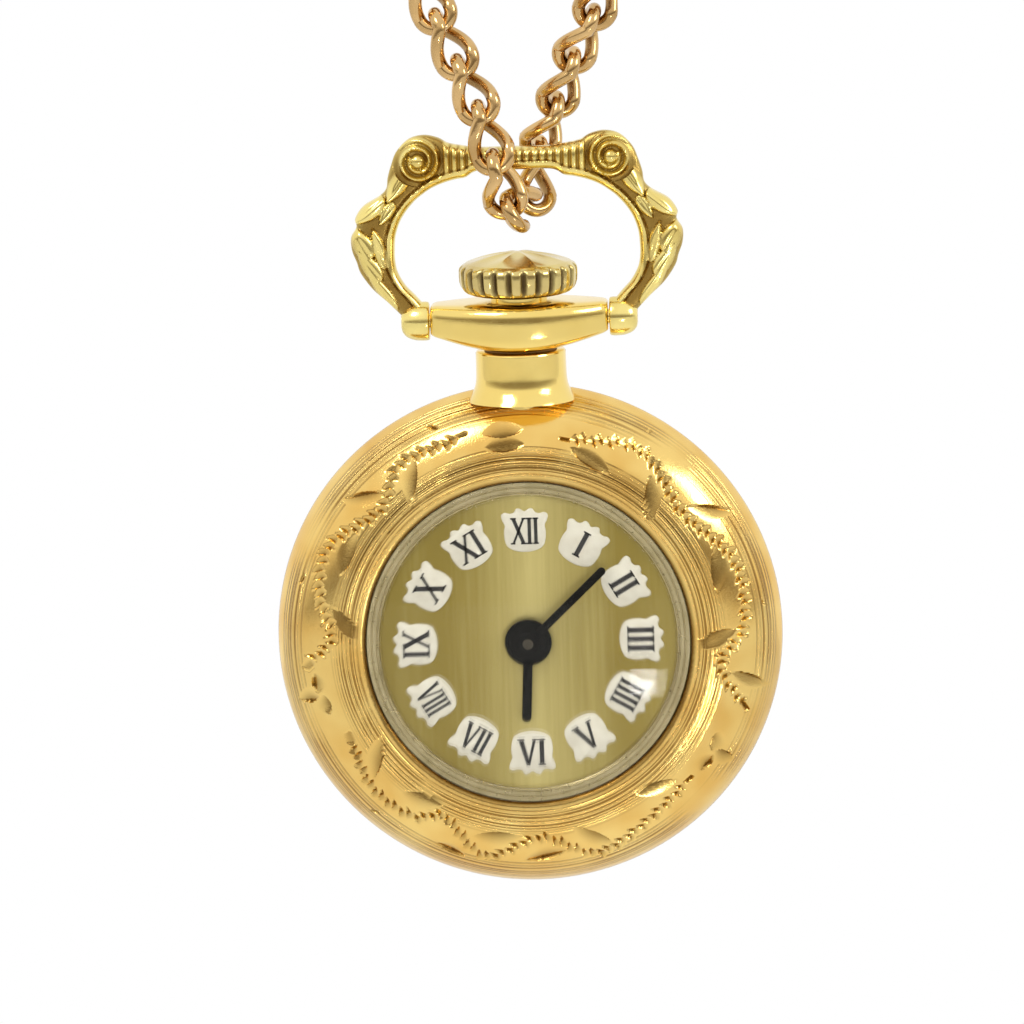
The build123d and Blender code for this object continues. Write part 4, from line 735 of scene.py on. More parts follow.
@dataclass
class Case:
    """The case: an engraved bezel and middle in one with its neck, a snap back, and the tube.

    Top, swell and lip are places of radius and w on the dome. Its rows lie closer between the two
    radii that hold the engraving, by the two shares.
    """

    top: tuple[float, float] = (13.5, -0.4)
    swell: tuple[float, float] = (11.745, 2.0)
    lip: tuple[float, float] = (9.05, 2.75)
    columns: int = 1060
    dome_rows: int = 81
    engraved: tuple[float, float] = (10.0, 12.7)
    fine_share: float = 2.6
    coarse_share: float = 0.7
    engraving: Engraving = field(default_factory=Engraving)

    def bezel(self) -> None:
        """The bezel: an arc from the rim to the lip carried round, lowered by the engraving.

        The rows lie closer where the work is engraved.
        """
        even = arc(self.top, self.swell, self.lip, 400)
        fine = (even[:, 0] > self.engraved[0]) & (even[:, 0] < self.engraved[1])
        crowding = np.where(fine, self.fine_share, self.coarse_share)
        place = np.cumsum(crowding) - crowding[0]
        wanted = np.linspace(0, place[-1], self.dome_rows)
        crown = np.stack([np.interp(wanted, place, even[:, n]) for n in range(2)], -1)
        run = np.gradient(crown, axis=0)
        normal = np.stack([run[:, 1], -run[:, 0]], -1)
        normal /= -np.linalg.norm(normal, axis=1, keepdims=True)
        normal *= np.sign(normal[:, 1:].mean())
        inside = np.array([(8.95, 2.76), (8.72, 2.70), (8.66, 2.60), (8.65, 2.26), (9.04, 2.26),
                           (9.6, 1.81), (11.2, 1.5), (12.7, 0.2), (12.95, -0.79)])
        outside = np.array([(13.38, -0.79), (13.44, -0.70)])
        profile = np.vstack([crown, inside, outside])
        angle = np.linspace(0, 2 * math.pi, self.columns, endpoint=False)
        u = profile[:, :1] * np.cos(angle)
        v = profile[:, :1] * np.sin(angle)
        depth = np.zeros_like(u)
        cut = np.zeros_like(u)
        band = slice(0, self.dome_rows)
        places = np.stack([u[band], v[band]], -1).reshape(-1, 2)
        deep, share = self.engraving.depth(places)
        row = np.arange(self.dome_rows)
        ends = np.clip(np.minimum(row, row[::-1]) / 3, 0, 1)
        depth[band] = deep.reshape(self.dome_rows, -1) * ends[:, None]
        cut[band] = share.reshape(self.dome_rows, -1) * ends[:, None]
        out = np.zeros_like(profile)
        out[band] = normal
        radius = profile[:, :1] - depth * out[:, :1]
        w = profile[:, 1:] - depth * out[:, 1:]
        points = on_watch(radius * np.cos(angle), radius * np.sin(angle), w)
        # Painted shade in the engraving: the deeper a cut, the darker it is painted.
        marks = np.stack([np.clip(depth / 0.16, 0, 1) ** 1.3 * 0.7, cut], -1)
        # Painted shade on the inner wall of the lip, where it shades the gap to the crystal.
        lip_wall = slice(self.dome_rows + 1, self.dome_rows + 5)
        marks[lip_wall, :, 0] = 1.0
        Form.turned(points, "bezel", BEZEL, "case", ("case_front",), "yellow_gold", 60.0,
                    marks=marks)

    def neck(self) -> None:
        """The flared neck: a waisted profile carried round the stem."""
        flare = smooth_path(np.array([(2.84, 12.85), (2.62, 13.2), (2.49, 13.5), (2.43, 13.85),
                                      (2.41, 14.3), (2.40, 15.2), (2.40, 15.26)]), 30)
        profile = np.vstack([[(1.5, 12.72), (2.90, 12.72)], flare,
                             [(2.36, 15.36), (2.28, 15.4), (1.52, 15.4)]])
        Form.turned(turned_about_stem(profile, 96), "neck", YELLOW, "case", (), "yellow_gold")

    def back(self) -> None:
        """The back: a shallow dish with a flat centre, turned in one with its snap rim."""
        outer = arc((6.0, -2.9), (10.8, -2.35), (13.38, -0.86), 28)
        inner = arc((12.55, -0.84), (10.35, -1.9), (6.0, -2.45), 14)
        profile = np.vstack([[(0.4, -2.9), (3.0, -2.9)], outer,
                             [(13.38, -0.81), (12.9, -0.81), (12.9, -0.42), (12.56, -0.42)], inner,
                             [(3.0, -2.45), (0.4, -2.45)]])
        form = Form()
        form.tube(turned_about_case(profile, 220))
        form.piece("back_cover", YELLOW, "case", ("case_back",), "yellow_gold", 40.0)

    def tube(self) -> None:
        """The pendant tube, with the collar under the yoke painted dark as the shade in its groove.
        """
        profile = np.array([(0.62, 11.6), (1.5, 11.6), (1.5, 15.41), (1.92, 15.41), (1.95, 15.44),
                            (1.95, 15.82), (1.92, 15.85), (1.5, 15.85), (1.5, 18.26), (1.46, 18.3),
                            (0.62, 18.3)])
        marks = np.zeros((len(profile), 64, 2))
        # Painted shade on the collar, in the groove under the yoke.
        marks[2:8, :, 0] = 1.0
        Form.turned(turned_about_stem(profile, 64), "pendant_tube_turned", YELLOW, "case",
                    ("pendant_tube",), "yellow_gold", marks=marks)

    def build(self) -> None:
        """The case and the tube that stands in its neck."""
        self.bezel()
        self.neck()
        self.back()
        self.tube()


@dataclass
class Yoke:
    """The yoke: rounded sections from end to end, deep in the middle and slim at the ends.

    Depths and heights are half sizes, each at an end and by how much it grows to the middle.
    """

    half_length: float = 4.7
    middle_v: float = 16.975
    depth: tuple[float, float] = (1.15, 1.73)
    top: tuple[float, float] = (0.98, 0.14)
    foot: tuple[float, float] = (0.66, 0.86)
    foot_bow: float = 1.2
    end_share: float = 0.07
    end_size: float = 0.84

    def build(self) -> None:
        """Sections that lie closer at the ends, where the edge is rounded."""
        share = np.linspace(-1, 1, 61)
        share = np.sign(share) * (1 - (1 - np.abs(share)) ** 1.25)
        middle = 1 - share**2
        ends = np.clip((1 - np.abs(share)) / self.end_share, 0, 1)
        swell = np.sqrt(np.clip(1 - (1 - ends) ** 2, 0.02, 1)) * (1 - self.end_size) + self.end_size
        depth = (self.depth[0] + self.depth[1] * middle) * swell
        top = (self.top[0] + self.top[1] * middle) * swell
        foot = (self.foot[0] + self.foot[1] * middle**self.foot_bow) * swell
        turn = np.linspace(0, 2 * math.pi, 48, endpoint=False)
        across = np.sign(np.cos(turn)) * np.abs(np.cos(turn)) ** 0.36
        up = np.sign(np.sin(turn)) * np.abs(np.sin(turn)) ** 0.52
        height = np.where(up > 0, top[:, None], foot[:, None]) * up
        form = Form()
        form.tube(on_watch(self.half_length * share[:, None] + 0 * turn, self.middle_v + height,
                           depth[:, None] * across))
        form.piece("yoke", YELLOW, "case", ("pendant_yoke",), "yellow_gold", 50.0)


# The dial side


class Stroke(Enum):
    """The strokes that Roman numerals are made of, as corners on a cell of unit height."""

    STEM = ((-0.09, 0.0), (0.09, 0.0), (0.09, 1.0), (-0.09, 1.0))
    THICK_FALL = ((-0.38, 1.0), (-0.18, 1.0), (0.38, 0.0), (0.18, 0.0))
    THIN_RISE = ((-0.35, 0.0), (-0.23, 0.0), (0.35, 1.0), (0.23, 1.0))
    V_THICK = ((-0.38, 1.0), (-0.18, 1.0), (0.10, 0.0), (-0.06, 0.0))
    V_THIN = ((0.35, 1.0), (0.23, 1.0), (-0.03, 0.0), (0.07, 0.0))


@dataclass
class Glyph:
    """One letter of a numeral: its strokes, its serifs as places and half widths, its width."""

    strokes: tuple[Stroke, ...]
    serifs: tuple[tuple[float, float, float], ...]
    width: float


GLYPHS = {
    "I": Glyph((Stroke.STEM,), ((0.0, 0.0, 0.15), (0.0, 1.0, 0.15)), 0.34),
    "V": Glyph((Stroke.V_THICK, Stroke.V_THIN), ((-0.27, 1.0, 0.15), (0.3, 1.0, 0.12)), 0.80),
    "X": Glyph((Stroke.THICK_FALL, Stroke.THIN_RISE),
               ((-0.27, 1.0, 0.15), (0.3, 1.0, 0.12), (-0.3, 0.0, 0.12), (0.27, 0.0, 0.15)), 0.82),
}


@dataclass(frozen=True)
class Hand:
    """A hand: a flat baton with bevelled edges and a round tip, and its boss of two steps.

    Its body and its node share a name. The angle is clockwise from twelve, w is the level of its
    back, and each boss is a radius and a height over that.
    """

    name: str
    node: str
    angle: float
    length: float
    width: float
    w: float
    bosses: tuple[tuple[float, float], tuple[float, float]]
    bore: float
    edge: float = 0.07
    thickness: float = 0.1

    def build(self) -> None:
        """The baton and its boss in one piece."""
        tip, w = self.width / 2, self.w
        turn = np.linspace(0, math.pi, 11)
        head = np.stack([tip * np.cos(turn), self.length - tip + tip * np.sin(turn)], -1)
        outline = np.vstack([[(-tip, self.bore * 1.2), (tip, self.bore * 1.2)], head])
        lean = math.radians(self.angle)
        right = np.array([math.cos(lean), -math.sin(lean)])
        up = np.array([math.sin(lean), math.cos(lean)])
        centre = np.array([0.0, self.length / 2])
        bevelled = (outline - centre) * (0.82, 0.99) + centre
        form = Form()
        form.tube(np.stack([layer(ring[:, :1] * right + ring[:, 1:] * up, level)
                            for ring, level in ((outline, w), (outline, w + self.edge),
                                                (bevelled, w + self.thickness))]))
        (outer, outer_top), (inner, inner_top) = self.bosses
        profile = rounded(np.array([(self.bore, w), (outer, w), (outer, w + outer_top),
                                    (inner, w + outer_top), (inner, w + inner_top),
                                    (self.bore, w + inner_top)]), 0.05)
        form.grid(turned_about_case(profile, 56), wrap_rows=True, wrap_columns=True)
        form.piece(self.name, BLACK, self.node, (self.node,), "black_hands", 40.0)


@dataclass
class DialSide:
    """The dial with its plaques and numerals, the hands and the crystal over them."""

    plaque_radius: float = 5.98
    plaque_outline: tuple[tuple[float, float], ...] = (
        (0.0, 1.02), (0.22, 1.20), (0.44, 1.22), (0.56, 0.98), (0.80, 0.92), (1.04, 1.02),
        (1.27, 0.88), (1.20, 0.56), (1.04, 0.30), (1.12, 0.0), (1.10, -0.45), (0.98, -0.85),
        (0.62, -1.05), (0.24, -1.13), (0.0, -1.14),
    )
    numerals: tuple[str, ...] = ("XII", "I", "II", "III", "IIII", "V", "VI", "VII", "VIII", "IX",
                                 "X", "XI")
    numeral_height: float = 1.42
    numeral_width: float = 1.50
    numeral_lifts: tuple[float, float] = (0.05, 0.1)
    serif_height: float = 0.055
    turned_in: tuple[int, ...] = (4, 5, 6, 7, 8)
    face_w: float = 2.2
    plate_back_w: float = 1.85
    plate_radius: float = 9.0
    bore: float = 0.8
    feet: tuple[float, ...] = (35, 215)
    foot_place: float = 7.6
    foot_radius: float = 0.3
    foot_tip_w: float = 0.95
    hands: tuple[Hand, ...] = (
        Hand("minute_baton", "minute_hand", 46.5, 5.75, 0.42, 2.86, ((0.85, 0.1), (0.6, 0.2)),
             0.29),
        Hand("hour_baton", "hour_hand", 183, 4.3, 0.50, 2.48, ((1.25, 0.1), (0.9, 0.2)), 0.6),
    )

    def frame_at(self, hour: int) -> tuple[Array, Array, Array]:
        """The middle of an hour's plaque, and its rightward and outward directions."""
        turn = math.radians(30 * hour)
        out = np.array([math.sin(turn), math.cos(turn)])
        return out * self.plaque_radius, np.array([out[1], -out[0]]), out

    def plate(self) -> None:
        """The dial plate: a disc with a rounded edge, the bore for the hands, and two feet."""
        back, face = self.plate_back_w, self.face_w
        profile = rounded(np.array([(self.bore, back), (self.plate_radius, back),
                                    (self.plate_radius, face), (self.bore, face)]), 0.06)
        form = Form()
        form.grid(turned_about_case(profile, 128), wrap_rows=True, wrap_columns=True)
        for angle in np.radians(self.feet):
            foot = np.array([(self.foot_radius, back), (self.foot_radius, self.foot_tip_w)])
            rings = turned_about_case(foot, 16)
            rings[..., 0] += self.foot_place * math.cos(angle)
            rings[..., 2] += self.foot_place * math.sin(angle)
            form.tube(rings)
        form.piece("dial_plate", BrushedDial(), "case", ("dial",), "champagne_dial")

    def plaques(self) -> None:
        """The raised plaques: an outline mirrored about the hour's line, on a sloping edge."""
        half = np.array(self.plaque_outline)
        whole = np.vstack([half, half[-2:0:-1] * (-1, 1)])
        outline = rounded(whole, 0.2, 4)
        inner = outline * 0.955
        form = Form()
        for hour in range(12):
            middle, right, out = self.frame_at(hour)
            rows = []
            for ring, w in ((outline, self.face_w - 0.01), (outline, self.face_w + 0.02),
                            (inner, self.face_w + 0.075)):
                flat = middle + ring[:, :1] * right + ring[:, 1:] * out
                rows.append(layer(flat, w))
            form.tube(np.stack(rows))
        form.piece("hour_plaques", ENAMEL, "case", (), "champagne_dial", 60.0)

    def letters(self) -> None:
        """The numerals: each stroke and each serif is a low prism on its plaque."""
        form = Form()
        for hour, text in enumerate(self.numerals):
            middle, right, out = self.frame_at(hour)
            if hour in self.turned_in:
                right, out = -right, -out
            total = sum(GLYPHS[letter].width for letter in text)
            stretch = min(self.numeral_width / total, self.numeral_height)
            place = -total / 2
            for letter in text:
                glyph = GLYPHS[letter]
                corners = [np.array(stroke.value) for stroke in glyph.strokes]
                for x, y, reach in glyph.serifs:
                    low = y * (1 - self.serif_height)
                    high = low + self.serif_height
                    corners.append(np.array([(x - reach, low), (x + reach, low),
                                             (x + reach, high), (x - reach, high)]))
                for shape in corners:
                    across = (shape[:, :1] + place + glyph.width / 2) * stretch
                    up = (shape[:, 1:] - 0.5) * self.numeral_height
                    flat = middle + across * right + up * out
                    form.tube(np.stack([layer(flat, self.face_w + lift)
                                        for lift in self.numeral_lifts]))
                place += glyph.width
        form.piece("hour_numerals", NUMERAL, "case", (), "black_hands", 60.0)

    def crystal(self) -> None:
        """The crystal: a dome over a dome, on a stepped rim whose rings show at the edge."""
        outer = dome((8.35, 2.98), 3.88, 40)
        inner = dome((7.9, 2.72), 3.45, 34)[::-1]
        profile = np.vstack([[(7.95, 2.46), (8.58, 2.46), (8.58, 2.88), (8.5, 2.93)], outer[:-1],
                             [(0.05, 3.88), (0.05, 3.45)], inner[1:], [(7.95, 2.66)]])
        Form.turned(turned_about_case(profile, 200), "domed_crystal", Acrylic(), "case",
                    ("crystal",), "acrylic", 50.0)

    def reflector(self) -> None:
        """The reflector ring: a stepped ring round the dial with two fine grooves."""
        profile = np.array([(7.95, 2.205), (8.6, 2.205), (8.6, 2.45), (8.4, 2.45), (8.37, 2.41),
                            (8.33, 2.41), (8.3, 2.45), (8.12, 2.45), (8.09, 2.40), (8.05, 2.40),
                            (8.02, 2.44), (7.95, 2.40)])
        Form.turned(turned_about_case(profile, 160), "stepped_reflector", REFLECTOR, "case",
                    ("reflector_ring",), "reflector")

    def build(self) -> None:
        """Everything under the crystal, and the crystal."""
        self.plate()
        self.plaques()
        self.letters()
        for hand in self.hands:
            hand.build()
        self.crystal()
        self.reflector()


# The crown and the bow


@dataclass
class Crown:
    """The crown: a fluted rim under a low dome of flat cuts.

    Each level is a radius, a v and the flutes' share of their depth there.
    """

    flutes: int = 24
    columns_per_flute: int = 14
    groove: float = 0.2
    levels: tuple[tuple[float, float, float], ...] = (
        (1.75, 18.77, 0), (1.75, 18.45, 0), (1.8, 18.42, 0), (2.42, 18.42, 0), (2.60, 18.46, 0.15),
        (2.80, 18.55, 0.5), (2.95, 18.68, 0.85), (3.06, 18.86, 1), (3.13, 19.1, 1), (3.15, 19.4, 1),
        (3.15, 19.72, 1), (3.12, 19.84, 0.8), (3.05, 19.93, 0.45), (2.95, 20.0, 0.15),
        (2.88, 20.03, 0), (2.8, 20.1, 0),
    )
    dome_rim: tuple[float, float] = (2.72, 20.14)
    dome_top: float = 20.66
    pole_radius: float = 0.06

    def build(self) -> None:
        """The knob: flutes are a wave of the angle that flattens on top, on a turned profile."""
        columns = self.flutes * self.columns_per_flute
        angle = np.linspace(0, 2 * math.pi, columns, endpoint=False)
        wave = np.clip(np.cos(angle * self.flutes) * 1.9 + 1.0, -1, 1) * 0.5 + 0.5
        cap = dome(self.dome_rim, self.dome_top, 12)
        profile = np.vstack([self.levels, np.column_stack([cap, np.zeros(len(cap))])])
        profile[-1, 0] = self.pole_radius
        radius = profile[:, :1] - self.groove * profile[:, 2:] * (1 - wave)
        facet = np.abs(np.cos(angle * 4)) * 0.12 + np.cos(angle * 3 + 1) * 0.03
        on_dome = profile[:, 1:2] > self.dome_rim[1] - 0.02
        lift = np.clip((profile[:, :1] - 0.2) / 2.6, 0, 1) * on_dome
        v = profile[:, 1:2] - lift * (1 - lift) * 3.2 * np.maximum(facet, 0)
        points = on_watch(radius * np.cos(angle), v, radius * np.sin(angle))
        marks = np.zeros(points.shape[:2] + (2,))
        # Painted reflection of the bow and chain: a dark patch on one side of the dome's facets.
        painted_reflection = np.clip(np.cos(angle + 1.45) - 0.90, 0, 1) * 12 * (lift > 0.3)
        # Painted shade in the flutes' grooves, deepest where the flutes are cut deepest.
        marks[..., 0] = profile[:, 2:] * (1 - wave) ** 0.7 + np.clip(painted_reflection, 0, 0.7)
        form = Form()
        form.tube(points, marks)
        form.piece("crown_knob", CROWN_GOLD, "crown", ("crown",), "crown_gold", 35.0)


@dataclass
class Leaf:
    """A leaf in relief: its foot and its tip on the bow's right half, its half width and height."""

    foot: tuple[float, float]
    tip: tuple[float, float]
    half_width: float
    height: float = 0.27

    def bulge(self, x: Array, y: Array) -> tuple[Array, Array]:
        """The leaf's height at each place, with a vein down its middle, and where it lies.

        Args:
            x: distances from the bow's middle.
            y: heights above the pivot.

        Returns:
            The height in millimetres, and whether each place is on the leaf.
        """
        foot, run = np.array(self.foot), np.array(self.tip) - np.array(self.foot)
        length = np.linalg.norm(run)
        along = ((x - foot[0]) * run[0] + (y - foot[1]) * run[1]) / length**2
        across = ((y - foot[1]) * run[0] - (x - foot[0]) * run[1]) / length
        inner = np.clip(along, 0, 1)
        girth = self.half_width * 2.38 * inner**0.5 * (1 - inner) ** 0.8
        share = np.clip(np.abs(across) / np.maximum(girth, 1e-6), 0, 1)
        vein = 0.09 * np.exp(-(across / 0.07) ** 2) * (1 - inner)
        height = self.height * np.sqrt(1 - share**2) * (0.75 + 0.25 * inner) - vein
        return np.where(share < 1, height, 0.0), share < 1


@dataclass
class Bow:
    """The cast bow: an open loop in relief, with scrolls, leaves and a fluted bar, and two eyes.

    Each row of edges is the outer and the inner edge of the right half, as a distance from the
    middle and a height above the pivot, from the eye up to the top.
    """

    pivot_v: float = 17.05
    half_depth: float = 0.52
    rows: int = 900
    columns: int = 48
    edges: tuple[tuple[float, float, float, float], ...] = (
        (6.22, 0.30, 4.95, 0.75), (6.95, 1.05, 5.45, 1.35), (7.75, 1.80, 6.00, 1.95),
        (8.35, 2.65, 6.38, 2.65), (8.55, 3.25, 6.50, 3.30), (8.78, 3.90, 6.50, 3.90),
        (8.80, 4.60, 6.45, 4.50), (8.50, 5.15, 6.30, 5.05), (8.55, 5.60, 6.10, 5.50),
        (8.10, 6.25, 5.80, 5.95), (7.25, 6.75, 5.50, 6.30), (6.85, 7.15, 5.25, 6.55),
        (6.75, 7.75, 4.85, 6.85), (6.55, 8.40, 4.55, 7.05), (6.25, 9.10, 4.25, 7.20),
        (5.60, 9.75, 3.95, 7.32), (4.80, 9.95, 3.65, 7.42), (4.05, 9.80, 3.35, 7.50),
        (3.50, 9.50, 3.05, 7.57), (2.80, 9.35, 2.60, 7.65), (1.90, 9.22, 1.90, 7.98),
        (0.0, 9.22, 0.0, 7.98),
    )
    leaves: tuple[Leaf, ...] = (
        Leaf((6.45, 0.65), (8.05, 2.95), 0.34, 0.26), Leaf((7.25, 2.25), (8.45, 3.95), 0.46, 0.32),
        Leaf((7.75, 3.45), (8.70, 5.15), 0.56, 0.38), Leaf((7.00, 2.90), (7.62, 5.10), 0.36, 0.26),
        Leaf((7.00, 6.75), (8.55, 5.35), 0.56, 0.38), Leaf((6.45, 6.45), (7.25, 5.25), 0.34, 0.26),
        Leaf((5.75, 8.05), (6.80, 6.45), 0.48, 0.34),
    )
    scroll: tuple[float, float] = (5.12, 8.58)
    scroll_reach: float = 1.22
    scroll_pitch: float = 0.42
    scroll_wire: float = 0.13
    scroll_height: float = 0.32
    ball_radius: float = 0.40
    bar_reach: float = 3.75
    flute_pitch: float = 0.42
    flute_height: float = 0.24
    flute_depth: float = 0.16
    band: float = 0.40
    band_height: float = 0.15

    def relief(self, u: Array, v: Array, inward: Array) -> tuple[Array, Array]:
        """How far the face stands up at each place, and how matt its ground is and how much painted
        shade it takes.

        The scroll's wire is a ridge along the spiral whose radius falls evenly with the angle,
        round a ball. The flutes are a wave of u. A polished band follows the inner edge.

        Args:
            u: places to the right of the middle.
            v: places above the middle of the case.
            The height in millimetres, and the matt ground with its painted shade, from 0 to 1.

        Returns:
            The height in millimetres, and the mattness from 0 to 1.
        """
        x, y = np.abs(u), v - self.pivot_v
        # This value is partly the matt ground, which is rougher, and partly painted shade: darker
        # on the low ground, towards the leaves' edges, between the scroll's turns, in the flutes
        # and in the trench beside the band.
        height, matt_and_shade = np.zeros_like(x), np.ones_like(x)
        for leaf in self.leaves:
            bulge, inside = leaf.bulge(x, y)
            matt_and_shade = np.where(inside & (bulge > height), 0.75 - bulge / leaf.height, matt_and_shade)
            height = np.maximum(height, bulge)
        dx, dy = x - self.scroll[0], y - self.scroll[1]
        reach = np.hypot(dx, dy)
        turn = (np.arctan2(dy, dx) / (2 * math.pi) + 0.9) % 1
        lap = (self.scroll_reach - reach) / self.scroll_pitch - turn
        gap = np.abs(lap - np.clip(np.round(lap), 0, 1)) * self.scroll_pitch
        ridge = np.exp(-(gap / self.scroll_wire) ** 2)
        ball = np.sqrt(np.clip(self.ball_radius**2 - reach**2, 0, 1)) * 0.9
        disc = reach < self.scroll_reach + 0.12
        height = np.where(disc, np.maximum(self.scroll_height * ridge, ball) - 0.06, height)
        matt_and_shade = np.where(disc, 1 - np.maximum(ridge, ball * 2.5) * 1.3, matt_and_shade)
        bar = (x < self.bar_reach) & (y > 7.0)
        groove = 0.5 + 0.5 * np.cos(u * (2 * math.pi / self.flute_pitch))
        height = np.where(bar, self.flute_height - self.flute_depth * groove**2, height)
        matt_and_shade = np.where(bar, groove**2 * 0.9, matt_and_shade)
        edge = np.clip((inward - self.band) / 0.06, 0, 1)
        trench = np.exp(-((inward - self.band - 0.09) / 0.06) ** 2)
        height = height * edge + self.band_height * (1 - edge) - 0.08 * trench
        matt_and_shade = np.clip(matt_and_shade * edge + trench * 0.8, 0, 1)
        return height, matt_and_shade

    def loop(self, form: Form) -> None:
        """The loop: cushion-shaped sections between its two edges, with relief on both faces."""
        half = np.array(self.edges)
        path = smooth_path(np.vstack([half * (-1, 1, -1, 1), half[-2::-1]]), self.rows)
        path[:, 1::2] += self.pivot_v
        outer, inner = path[:, None, :2], path[:, None, 2:]
        turn = np.linspace(-0.5, 0.5, self.columns, endpoint=False) * math.pi
        across = np.concatenate([np.sin(turn), -np.sin(turn)])
        thick = (1 - np.abs(across) ** 3) ** (1 / 3)
        face = np.repeat([1.0, -1.0], self.columns)
        flat = (outer + inner) / 2 + (outer - inner) / 2 * across[:, None]
        inward = np.linalg.norm(flat - inner, axis=-1)
        height, matt_and_shade = self.relief(flat[..., 0], flat[..., 1], inward)
        fade = thick**1.5
        depth = face * (self.half_depth * thick + height * fade)
        # Painted shade on the ground, less on the rounded sides of the loop.
        marks = np.stack([matt_and_shade * (0.35 + 0.65 * fade), np.zeros_like(matt_and_shade)], -1)
        form.tube(on_watch(flat[..., 0], flat[..., 1], depth), marks)

    def eye(self, form: Form, side: Side) -> None:
        """An eye: a knob round the pivot, flat towards the yoke and round outwards, and drilled."""
        profile = smooth_path(np.array([(4.79, 0.95), (4.86, 1.02), (5.15, 1.04), (5.60, 1.0),
                                        (6.0, 0.84), (6.22, 0.60), (6.27, 0.42)]), 22)
        profile = np.vstack([[(4.79, 0.41)], profile])
        turn = np.linspace(0, 2 * math.pi, 40, endpoint=False)
        x, radius = side.value * profile[:, :1], profile[:, 1:]
        form.grid(on_watch(x + 0 * turn, self.pivot_v + radius * np.sin(turn),
                           radius * np.cos(turn)), wrap_rows=True, wrap_columns=True)

    def build(self) -> None:
        """The whole casting in one piece."""
        form = Form()
        self.loop(form)
        for side in Side:
            self.eye(form, side)
        form.piece("bow_casting", BOW_GOLD, "bow", ("bow",), "yellow_gold", 50.0)


# The chain


def flattened(vector: Array, normal: Array) -> Array:
    """The direction of a vector once its part along a normal is taken out."""
    rest = vector - normal * (vector @ normal)
    return rest / np.linalg.norm(rest)


def spun(vector: Array, along: Array, angle: Array) -> Array:
    """A vector turned about a direction it is square to, by angles in degrees."""
    turn = np.radians(np.asarray(angle, float))[..., None]
    return vector * np.cos(turn) + np.cross(along, vector) * np.sin(turn)


